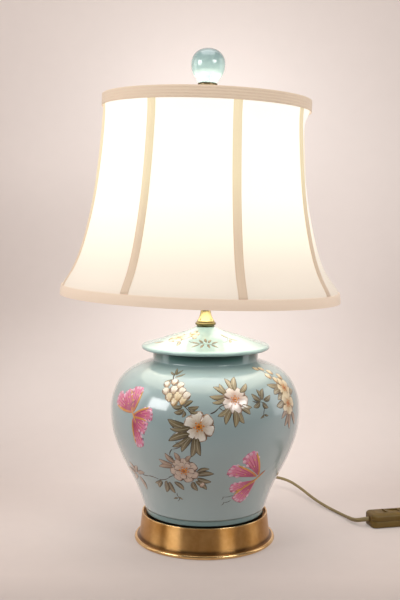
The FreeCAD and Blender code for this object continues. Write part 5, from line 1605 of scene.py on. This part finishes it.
        self.dab(root, (0, 0), end, width, Law.WING, WING_INK, bend, layer)
        for number in range(scallops):
            side = -1 + 2 * number / (scallops - 1)
            along, across = 0.97 - 0.3 * side * side, max(-1, min(1, side * 1.7))
            self.dab(root, at(along - 0.1, across * 0.86), at(along + 0.02, across),
                     width * 1.5 / scallops, Law.BUD, RIM_INK, 0, layer + 1)
            self.dab(root, at(0.12, across * 0.4), at(along - 0.08, across * 0.8),
                     width * 0.6 / scallops, Law.LEAF, DEEP_WING_INK, 0, layer + 2)
        for along, across in ((0.45, 0.25), (0.66, -0.3), (0.7, 0.5)):
            self.dot(root, at(along, across), width * 0.09, SPOT_INK, layer + 3)
        self.dab(root, at(0.02, gilt), at(0.86, gilt * 0.98), width * 0.19, Law.LINE, GILT_INK,
                 gilt * width * 0.1, layer + 3)

    def surface(self) -> Surface:
        """Every stroke at once, as closed slips half sunk in the glaze.

        Returns:
            One surface with the paint of all strokes.
        """
        table = np.array(self.strokes)[:, None, None, :]
        azimuth, arc, x0, y0, x1, y1, half, bend, a, b, layer = np.moveaxis(table, -1, 0)
        v = (1 - np.cos(np.linspace(0, math.pi, self.ROWS)))[None, :, None] / 2
        u = np.concatenate([np.linspace(0, 1, self.COLUMNS), [1, 0, 0]])[None, None, :]
        top = np.concatenate([np.ones(self.COLUMNS), [0, 0, 1]])[None, None]
        length = np.hypot(x1 - x0, y1 - y0)
        off = 4 * bend * v * (1 - v) + (2 * u - 1) * stroke_width(a, b, v) * half
        x = x0 + (x1 - x0) * v - (y1 - y0) / length * off
        y = y0 + (y1 - y0) * v + (x1 - x0) / length * off
        crown = self.CROWN * (1 - (2 * u - 1) ** 2) * np.sqrt(np.clip(4 * v * (1 - v), 0, 1))
        lift = np.where(top > 0, self.LIFT + self.LAYER * layer + crown, -self.SUNK)
        radius, height, outward, upward = (
            np.interp(arc + y, self.run, column)
            for column in (*self.line.T, *self.normal.T))
        angle = azimuth + x / radius
        out = radius + lift * outward
        points = stacked(out * np.sin(angle), -out * np.cos(angle), height + lift * upward)
        uv = np.broadcast_to(stacked(u, v), points.shape[:3] + (2,))
        whole = Surface.joined([grid(slip, brush) for slip, brush in zip(points, uv)]).outward()
        each = points.shape[1] * points.shape[2]
        colours = {"fill": [linear(i.fill, i.rim) for i in self.inks],
                   "root": [linear(i.root, i.vein) for i in self.inks],
                   "edge": [linear(i.edge) for i in self.inks]}
        whole.paint = {key: np.repeat(np.array(c), each, axis=0) for key, c in colours.items()}
        return whole


class Decoration:
    """The painted spray on the jar and its lid: blossom, leaves, buds and two butterflies."""

    # Root, tip, width, bend, scallops, side of the gilt edge and layer.
    FIRST_WINGS = (((-46, 181), (-58, 202), 20, 0, 6, -1, 0),
                   ((-46, 181), (-67, 194), 18, -1, 6, 1, 1),
                   ((-46, 181), (-46.5, 211), 18, 1, 6, -1, 1),
                   ((-46, 177), (-31, 182), 16, 1.5, 6, 1, 1),
                   ((-46, 175), (-35, 164), 18, -1, 6, 1, 1),
                   ((-46, 174), (-41, 139), 14, 2, 6, -1, 2))
    SECOND_WINGS = (((39, 103), (26, 136), 19, -1.5, 6, -1, 0),
                    ((38, 102), (15, 117), 16, -1, 6, -1, 1),
                    ((38, 98), (18, 90), 15, 1, 6, 1, 1),
                    ((38, 99), (25, 71), 20, 2, 8, -1, 2))
    # Azimuth, height, size and lean.
    CLUSTER = ((-26, 217, 9, -2), (-21.5, 220, 10, 0), (-17, 217, 10, 2), (-25, 210, 10, -2),
               (-20, 212, 12, 0), (-15, 211, 11, 2), (-12, 206, 11, 3), (-22, 204, 11, -1),
               (-17, 205, 13, 1), (-13.5, 201, 10, 2), (-18.5, 199, 10, 0))

    def __init__(self, jar: Jar) -> None:
        """Brushes for the belly and for the lid."""
        self.belly = Brush(jar.belly(400))
        self.lid = Brush(jar.slope(200))

    def butterflies(self) -> None:
        """One with a broad wing up and a long one down; one with curled feelers."""
        paint = self.belly
        for row in self.FIRST_WINGS:
            paint.wing(*row)
        for spot in ((-36, 169), (-36.2, 163), (-37, 157), (-38, 151), (-33, 176), (-32, 181)):
            paint.dot(spot, (0, 0), 1.5, DOT_INK, 6)
        paint.stroke((-49, 188), (-43, 168), 2.8, Law.LEAF, GILT_INK, 0.6, 7)
        paint.stroke((-49, 188), (-45, 195), 0.5, Law.LINE, TWIG_INK, 1.5, 8)
        for row in self.SECOND_WINGS:
            paint.wing(*row)
        paint.stroke((44, 109), (35, 93), 2.8, Law.LEAF, GILT_INK, -0.6, 7)
        for feeler in (((22, 80), (14, 79), (13, 75)), ((21, 73), (15, 71), (13.5, 67))):
            for start, end in zip(feeler, feeler[1:]):
                paint.stroke(start, end, 0.8, Law.LINE, TWIG_INK, 1.3, 1)

    def main_spray(self) -> None:
        """The bud cluster, its leaves, the large open flower and the branch below."""
        paint = self.belly
        paint.twig(1.5, (-25, 228), (-22, 219), (-18, 208), (-14, 197), (-7, 184))
        paint.leaves(LEAF_INK, 0.6, (-24, 226, -30, 229, 3.4), (-24, 226, -27, 232, 3.4),
                     (-23, 226, -20, 231, 3.4), (-23, 224, -16, 228, 3.6),
                     (-24, 222, -29, 219, 3.2))
        for azimuth, height, size, lean in self.CLUSTER:
            paint.bud((azimuth, height), size, lean, GOLD_INK if height < 206 else PETAL_INK)
        paint.leaves(LEAF_INK, 1.6, (-13, 194, -20, 195, 6), (-13, 195, -15, 203, 5),
                     (-12, 194, -7, 201, 6), (-10, 193, -3.5, 195, 6),
                     (-12, 191, -18, 187, 6.5), (-9, 191, -4, 188, 5), (-12, 190, -13, 182, 5))
        paint.leaves(LEAF_INK, 2.2, (-9, 170, -21.5, 179, 11), (-8, 163, -21, 153, 10.5),
                     (-8, 171, -20, 168, 8), (-7, 160, -13.5, 140, 9),
                     (-6, 159, -8, 134, 9.5), (-4, 159, -2.5, 136, 9), (-8, 161, -19, 146, 8))
        paint.blossom((-3.3, 171.7), 18.5, 6, 100)
        paint.twig(1.6, (-9, 155), (-13, 149), (-19, 143), (-21, 134), (-19, 128))
        paint.twig(1.1, (-14, 147), (-17, 152))
        paint.twig(1.6, (3, 187), (8, 194), (14, 197))
        paint.twig(1.0, (8, 194), (12, 190))

    def right_spray(self) -> None:
        """The second flower in its fan of leaves, and a small sprig beyond it."""
        paint = self.belly
        paint.leaves(PALE_LEAF_INK, 1.6, (12, 206, 2.5, 206, 7), (12, 208, 5, 216, 7),
                     (13, 209, 9.5, 219, 6), (17, 211, 14, 224, 8), (19, 211, 22, 225, 8),
                     (22, 209, 28.5, 218, 7), (12, 203, 4, 199, 6))
        paint.leaves(PALE_LEAF_INK, 1.6, (14, 193, 7, 184, 7), (15, 191, 11.5, 174, 8),
                     (17, 191, 17, 170, 8.5), (19, 191, 22.5, 174, 8),
                     (21, 193, 26.5, 184, 7.5), (22, 196, 28, 192, 6))
        paint.blossom((18, 201.5), 16.5, 5, 54, BLUSH_INK)
        paint.leaves(LEAF_INK, 1.6, (35, 198, 29.5, 207, 7), (35.5, 199, 34, 211, 6),
                     (36, 199, 39.5, 211, 7), (37, 198, 43.5, 203, 6.5),
                     (34, 197, 29, 192, 6.5), (36, 196, 39.5, 189, 6.5))
        paint.twig(1.3, (29, 199), (35, 197), (37, 190), (35.5, 178))
        paint.leaves(LEAF_INK, 0.4, (36, 182, 33, 178, 2.6), (36, 182, 39, 180, 2.6))

    def edge_spray(self) -> None:
        """Golden flowers, buds and long leaves far round to the right."""
        paint = self.belly
        paint.twig(1.5, (52, 231), (56, 220), (58, 205), (59, 190), (57, 165))
        for azimuth, height, size in ((50, 230, 9), (56, 229, 9), (53, 222, 10), (60, 225, 10),
                                      (57, 217, 10), (66, 219, 10)):
            paint.bud((azimuth, height), size)
        paint.leaves(PALE_LEAF_INK, 1.6, (55, 211, 44.5, 214, 8), (55, 206, 47, 203, 9),
                     (54, 193, 46.5, 189, 9), (56, 199, 49, 196, 8), (64, 198, 72, 201, 8))
        paint.blossom((61, 207), 15, 5, 30, GOLD_INK)
        paint.blossom((59, 189), 15, 5, 70, GOLD_INK)
        paint.leaves(BROWN_LEAF_INK, 1.6, (57, 178, 53, 163, 8), (59, 178, 59, 157, 8),
                     (61, 178, 66, 160, 8), (57, 181, 50, 173, 7))

    def lower_spray(self) -> None:
        """The full pink-brown flower low on the left, its leaves, bud and stem."""
        paint = self.belly
        paint.twig(1.6, (-50, 101.5), (-42, 101), (-33, 99), (-25, 103), (-19, 108))
        paint.leaves(LEAF_INK, 1.6, (-31, 98, -38, 93, 6.5), (-31, 97, -35.5, 87, 7),
                     (-28, 97, -30, 82, 7.5), (-25, 98, -22.5, 82, 7.5),
                     (-21, 99, -15, 88, 7.5), (-27, 99, -27, 90, 5))
        paint.leaves(BROWN_LEAF_INK, 1.6, (-20, 122, -29, 128, 7), (-20, 119, -30, 118, 7),
                     (-18, 125, -24, 137, 7), (-16, 127, -18, 139, 7), (-11, 127, -8, 136, 6))
        paint.leaves(LEAF_INK, 1.6, (-5, 110, 6, 112, 8), (-5, 106, 4.5, 101, 8),
                     (-6, 102, 1.5, 90, 8), (-8, 101, -5, 88, 7.5), (-5, 114, 3, 119, 6))
        paint.blossom((-13, 115.5), 18, 7, 80, ROSE_INK, 2)
        paint.bud((-2, 97), 8, 1, ROSE_INK)
        paint.twig(1.0, (-21, 83), (-20, 77), (-22, 71))
        paint.leaves(LEAF_INK, 0.4, (-21, 77, -17, 74, 2.6), (-21, 76, -25, 74, 2.6))
        paint.leaves(BROWN_LEAF_INK, 1.6, (-56, 100, -51, 111, 7.5), (-57, 100, -60, 113, 8),
                     (-54, 99, -45, 104, 6.5), (-56, 97, -64, 88, 8),
                     (-54, 96, -52, 78, 8), (-58, 98, -68, 101, 8))

    def lid_sprays(self) -> None:
        """A pale golden flower, a dark sprig and small leaves on the lid."""
        paint = self.lid
        paint.leaves(PALE_LEAF_INK, 1, (-62, 260, -74, 257, 5), (-60, 262, -68, 265, 5),
                     (-38, 262, -33, 258, 5), (-40, 271, -28, 273, 5))
        paint.blossom((-50, 265), 14, 6, 10, GOLD_INK)
        paint.blossom((-32, 268.5), 9, 5, 40, GOLD_INK)
        paint.bud((-20, 266), 6)
        paint.twig(1.0, (-24, 263), (-12, 261), (2, 260.5), (14, 261))
        paint.leaves(LEAF_INK, 0.5, (-8, 261, -19, 262.5, 3.2), (-7, 260.5, -15, 257.5, 3.2),
                     (-3, 261.5, -10, 264.5, 3.4), (-2, 260.5, -5, 257, 3.2),
                     (1, 262, 0, 265.5, 3.4), (3, 260.5, 5, 257, 3.2),
                     (4, 261.5, 9, 264.5, 3.4), (7, 260.5, 14, 257.5, 3.2),
                     (8, 261, 18, 262.5, 3.2))
        paint.leaves(PALE_LEAF_INK, 0.5, (40, 264, 33, 261, 3.6), (42, 265, 50, 262, 3.6),
                     (41, 265, 40, 269, 3.6))
        paint.twig(0.8, (24, 262), (34, 263), (41, 265))

    def build(self) -> None:
        """The front's painting, and the same sprays once more round the back."""
        for turn in (0.0, 180.0):
            self.belly.turn = self.lid.turn = turn
            for spray in (self.butterflies, self.main_spray, self.right_spray, self.edge_spray,
                          self.lower_spray, self.lid_sprays):
                spray()
        made("painted_spray", self.belly.surface(), PAINT, slot="jar_glaze")
        made("painted_lid_spray", self.lid.surface(), PAINT, slot="lid_glaze")


# Shade and finial


@dataclass(frozen=True)
class Shade:
    """Eight-gore bell shade on a wire frame, leaning a little about the harp's seat."""

    tilt: float = 1.7
    seat: float = 242.0
    seat_height: float = 556.0
    height: float = 249.0
    top: float = 130.3
    bottom: float = 176.6
    gores: int = 8
    first: float = -164.0
    cloth: float = 0.8
    ring_inset: float = 3.3
    ring_lift: float = 2.5
    rib_inset: float = 2.8
    lining_inset: float = 5.3
    lining: float = 0.6
    lining_margin: float = 9.0
    tape_half: float = 5.4

    # Shares of the height, of the way from the lower to the upper radius, and of the drawing-in.
    ROWS = ((0.000, 0.000, 0.00), (0.024, 0.010, 0.00), (0.050, 0.032, 0.02),
            (0.082, 0.112, 0.12), (0.125, 0.242, 0.32), (0.205, 0.425, 0.52),
            (0.325, 0.609, 0.64), (0.466, 0.765, 0.76), (0.627, 0.879, 0.88),
            (0.787, 0.955, 0.90), (0.890, 0.990, 0.75), (0.944, 1.000, 0.22),
            (0.972, 1.000, 0.06), (1.000, 1.000, 0.00))
    SHARE_SCALE = 40.0  # weighs the shares against the height in the spline's chords

    def rows(self, low: float, high: float, count: int) -> tuple[Array, Array, Array]:
        """The shade's outline, from the spline through its rows.

        Args:
            low: the first height.
            high: the last height.
            count: of rows.

        Returns:
            Heights, radii and drawn-in shares.
        """
        table = np.array(self.ROWS) * [self.height, self.SHARE_SCALE, self.SHARE_SCALE]
        line = smooth_line(table, 400)
        level = np.linspace(low, high, count)
        progress, drawn = (np.interp(level, line[:, 0], line[:, k]) / self.SHARE_SCALE
                           for k in (1, 2))
        return level, self.bottom + (self.top - self.bottom) * progress, np.clip(drawn, 0, 1)

    def arc(self, full: Array, drawn: Array) -> tuple[Array, Array, Array]:
        """A gore's level arc, with half chord c, rise s and radius (c^2 + s^2) / 2s.

        Args:
            full: the ribs' radius r.
            drawn: the drawn-in share d.

        Returns:
            The middle's radius r (1 - d (1 - cos h)), where h is half a gore's angle; the arc's
            radius; half the arc's angle.
        """
        half = math.pi / self.gores
        middle = full * (1 - drawn * (1 - math.cos(half)))
        chord = full * math.sin(half)
        rise = np.maximum(middle - full * math.cos(half), 1e-3)
        bow = (chord**2 + rise**2) / (2 * rise)
        return middle, bow, np.arcsin(chord / bow)

    def gore(self, inset: float, thick: float, margin: float, count: int,
             columns: int) -> tuple[Surface, float]:
        """One gore about the X axis: level arcs through rib, middle and rib.

        Args:
            inset: how far inside the shade's outline its outer face is.
            thick: the cloth.
            margin: left free at both edges of the shade.
            count: rows up the gore.
            columns: points across it.

        Returns:
            The closed cloth and its outer area.
        """
        level, full, drawn = self.rows(margin, self.height - margin, count)
        across = np.linspace(-1, 1, columns)
        faces = []
        for depth in (inset, inset + thick):
            middle, bow, angle = (part[:, None] for part in self.arc(full - depth, drawn))
            faces.append(stacked(middle - bow + bow * np.cos(angle * across),
                                 bow * np.sin(angle * across), level[:, None]))
        outer, inner = faces
        du, dv = np.diff(outer, axis=1)[:-1], np.diff(outer, axis=0)[:, :-1]
        area = float(np.linalg.norm(np.cross(du, dv), axis=-1).sum())
        loop = np.concatenate([outer, inner[:, ::-1], outer[:, :1]], axis=1)
        there_and_back = np.concatenate([across, across[::-1], across[:1]])
        width = there_and_back * full[:, None] * math.pi / self.gores
        ends = [grid(np.stack([outer[k], inner[k]])) for k in (0, -1)]
        ends[1].quads = ends[1].quads[:, ::-1]
        shell = [grid(loop, stacked(width, level[:, None]) * 0.01), *ends]
        return Surface.joined(shell).outward(), area

    def spun(self, surface: Surface, angle: float = 0.0) -> Surface:
        """Put a surface in place, leaning about the harp's seat.

        Args:
            surface: in the shade's own frame.
            angle: turned by this about the shade's axis first.

        Returns:
            The surface in the row frame.
        """
        lean = (Matrix.Translation((0, 0, self.seat_height))
                @ Matrix.Rotation(math.radians(self.tilt), 4, "Y")
                @ Matrix.Translation((0, 0, -self.seat)))
        return surface.moved(lean @ Matrix.Rotation(math.radians(angle), 4, "Z"))

    def repeated(self, surface: Surface, count: int, start: float = 0.0) -> Surface:
        """Copies at even steps from the first rib on, as one surface."""
        return Surface.joined([self.spun(surface, self.first + 360 / count * (k + start))
                               for k in range(count)])

    def wires(self) -> None:
        """Rings, ribs, arms and hub of the frame."""
        for end, radius, level in (("top", self.top, self.height - self.ring_lift),
                                   ("bottom", self.bottom, self.ring_lift)):
            around = circle(radius - self.ring_inset, 200)
            path = stacked(around[:, 0], around[:, 1], level)
            ring = sweep(path, circle(2.0, 14), (0, 0, 1), closed=True)
            made("ring_" + end, self.spun(ring), FRAME_WIRE, "shade_%s_ring" % end, body="shade")
        rise = 4.55  # just inside both rings' wire
        level, radius, _ = self.rows(rise, self.height - rise, 70)
        rib = sweep(stacked(radius - self.rib_inset, 0, level), circle(1.5, 10), (0, 1, 0))
        made("frame_ribs", self.repeated(rib, self.gores), FRAME_WIRE, "shade_ribs",
             body="shade")
        start, stop = np.array([11.05, 0, 242.8]), np.array([self.top - 5.35, 0, 246.5])
        path = start + (stop - start) * np.linspace(0, 1, 24)[:, None]
        arm = sweep(path, circle(1.8, 12), (0, 1, 0))
        made("frame_arms", self.repeated(arm, 4), FRAME_WIRE, "shade_arms", body="shade")
        hub = softened([(3.5, 242), (11, 242), (11, 243.6), (3.5, 243.6)], 0.4, 4)
        made("frame_hub", self.spun(lathe(hub, 72)), BRASS, "shade_hub", body="shade",
             slot="frame_wire")

    def cloths(self) -> None:
        """Silk gores with the tapes over their seams, and the lining."""
        gore, area = self.gore(0, self.cloth, 0, 90, 33)
        tapes = self.tapes()
        for number in range(1, self.gores + 1):
            angle = self.first + 360 / self.gores * (number - 0.5)
            piece = made("silk_gore_%d" % number, self.spun(gore, angle), SILK,
                         "shade_panel_%d" % number, body="shade")
        inner, inner_area = self.gore(self.lining_inset, self.lining, self.lining_margin, 70, 17)
        lining = made("silk_lining", self.repeated(inner, self.gores, 0.5), LINING,
                      "shade_lining", body="shade")

    def bands(self) -> None:
        """The folded cloth bands round both edges, their UV in tenths of a metre."""
        edge, lap, over = self.top + 0.4, self.height + 0.1, self.height + 0.85
        upper = softened([(edge, self.height - 13.5), (edge + 0.8, self.height - 13.5),
                          (edge + 0.8, over), (edge - 6.5, over), (edge - 6.5, lap),
                          (edge, lap)], (0.1, 0.3, 0.5, 0.3, 0.1, 0.2), 5)
        wide = self.bottom + 0.4
        fall = (self.bottom - self.top) * 0.032
        lower = softened([(wide, 0), (wide + 0.8, 0), (wide + 0.8 - fall * 0.3, 6.25),
                          (wide + 0.8 - fall, 12.5), (wide - fall, 12.5),
                          (wide - fall * 0.3, 6.25)], 0.25, 4)
        for end, outline in (("top", upper), ("bottom", lower)):
            band = lathe(outline, 240)
            band.uv = band.uv * [11.0, 0.3]
            made("band_" + end, self.spun(band), TRIM, "shade_%s_band" % end, body="shade")

    def tapes(self) -> Object:
        """Eight tapes up the seams, each folded down over its rib on to both gores.

        A gore meets its rib at the slope tan(g), g = h - asin(c/b), with h half a gore, c half
        the chord and b the arc's radius; the fold is (sqrt(y^2 + s^2) - s) tan(g) deep.

        Returns:
            The one piece that holds them all.
        """
        level, radius, drawn = self.rows(11.6, self.height - 12.6, 70)
        slope = np.tan(math.pi / self.gores - self.arc(radius, drawn)[2])
        side = self.tape_half
        section = softened([(-side, 0.2), (-side, 0.6), (0, 1.0), (side, 0.6), (side, 0.2),
                            (0, 0.4)], 0.3, 5)
        y, x = section.T
        fold = np.sqrt(y**2 + 1) - 1
        points = stacked(radius[:, None] + x - fold * slope[:, None], y, level[:, None])
        uv = stacked(y / (2 * side) + 0.5, level[:, None] * 0.01)
        ends = np.repeat(points[[0, -1]].mean(axis=1, keepdims=True), len(section), axis=1)
        tape = grid(np.concatenate([ends[:1], points, ends[1:]]),
                    np.concatenate([uv[:1], uv, uv[-1:]])).outward()
        return made("seam_tapes", self.repeated(tape, self.gores), TAPE, "shade_tapes",
                    body="shade", slot="shade_trim")

    def build(self) -> None:
        """The wire frame and then the cloths."""
        self.wires()
        self.cloths()
        self.bands()


@dataclass(frozen=True)
class Finial:
    """The brass cup and porcelain ball that screw on over the shade."""

    shade: Shade
    lift: float = 1.7
    bore: float = 3.1
    cup_height: float = 25.0
    ball_height: float = 44.0
    ball_radius: float = 21.4

    # Shares of the ball's height and of its radius.
    BALL_SHARES = ((0.0, 0.542), (0.12, 0.70), (0.28, 0.90), (0.45, 0.99), (0.60, 1.0),
                   (0.76, 0.905), (0.90, 0.65), (0.97, 0.36), (1.0, 0.0))

    def build(self) -> None:
        """Both turned pieces, leaning as the shade does."""
        base, bore = self.shade.seat + self.lift, self.bore
        ball_foot = base + self.cup_height
        cup = np.concatenate([
            [(bore, base), (8.7, base), (9, base + 0.3), (9, base + 2.7), (8.8, base + 3)],
            smooth_line([(8.8, base + 3), (6.5, base + 9), (6.5, base + 14),
                         (12.4, base + 22)], 30)[1:],
            [(12.4, base + 24.8), (12.2, ball_foot), (0, ball_foot), (0, base + 15),
             (bore, base + 15), (bore, base)]])
        made("brass_cup", self.shade.spun(lathe(cup, 112)), DARK_BRASS, "finial_base",
             body="finial", slot="brass")
        ball = smooth_line([(self.ball_radius * r, ball_foot + self.ball_height * h)
                            for h, r in self.BALL_SHARES], 90)
        ball[-1, 0] = 0
        outline = np.concatenate([[(0, ball_foot)], ball])
        made("porcelain_ball", self.shade.spun(lathe(outline, 144)), BALL_GLAZE, "finial_ball",
             body="finial")


# Carried-over CAD nodes

NODE_FINISHES: tuple[tuple[Finish, tuple[str, ...]], ...] = (
    (BOARD, ("base_board",)), (RUBBER, ("cable_bush",)), (CORK, ("cork_ring",)),
    (STEEL, ("base_washer", "base_nut", "lamp_rod", "switch_screws")),
    (GASKET, ("lid_gasket",)),
    (BRASS, ("harp_saddle", "harp_wire", "harp_sleeve_left", "harp_sleeve_right", "harp_seat",
             "holder_cap", "holder_shell")),
    (CARD, ("holder_liner",)), (CORE, ("holder_core",)),
    (SCREW_BRASS, ("screw_shell", "centre_contact", "terminal_screws", "switch_terminals")),
    (BULB_METAL, ("bulb_cap",)), (BULB_GLASS, ("bulb_glass",)), (STEM_GLASS, ("bulb_stem",)),
    (FILAMENT, ("bulb_filament",)), (CORD, ("supply_lead",)), (SWITCH, ("switch_rocker",)),
    (TIE, ("coil_tie",)), (PINS, ("plug_pins",)))


def dress_nodes() -> None:
    """Give each carried-over CAD node its finish."""
    for finish, names in NODE_FINISHES:
        for name in names:
            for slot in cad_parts[name].material_slots:
                slot.material = finish.material()
            log.info("node %s is dressed in %s", name, finish.name)


def main() -> None:
    """Build the studio, the cable and then each sub-assembly."""
    logging.basicConfig(level=logging.INFO, format="%(name)s: %(message)s")
    Studio().build()
    Cable().build()
    Foot().build()
    jar = Jar()
    jar.build()
    Decoration(jar).build()
    Neck(jar.crown).build()
    shade = Shade()
    shade.build()
    Finial(shade).build()
    dress_nodes()


if __name__ == "__main__":
    main()
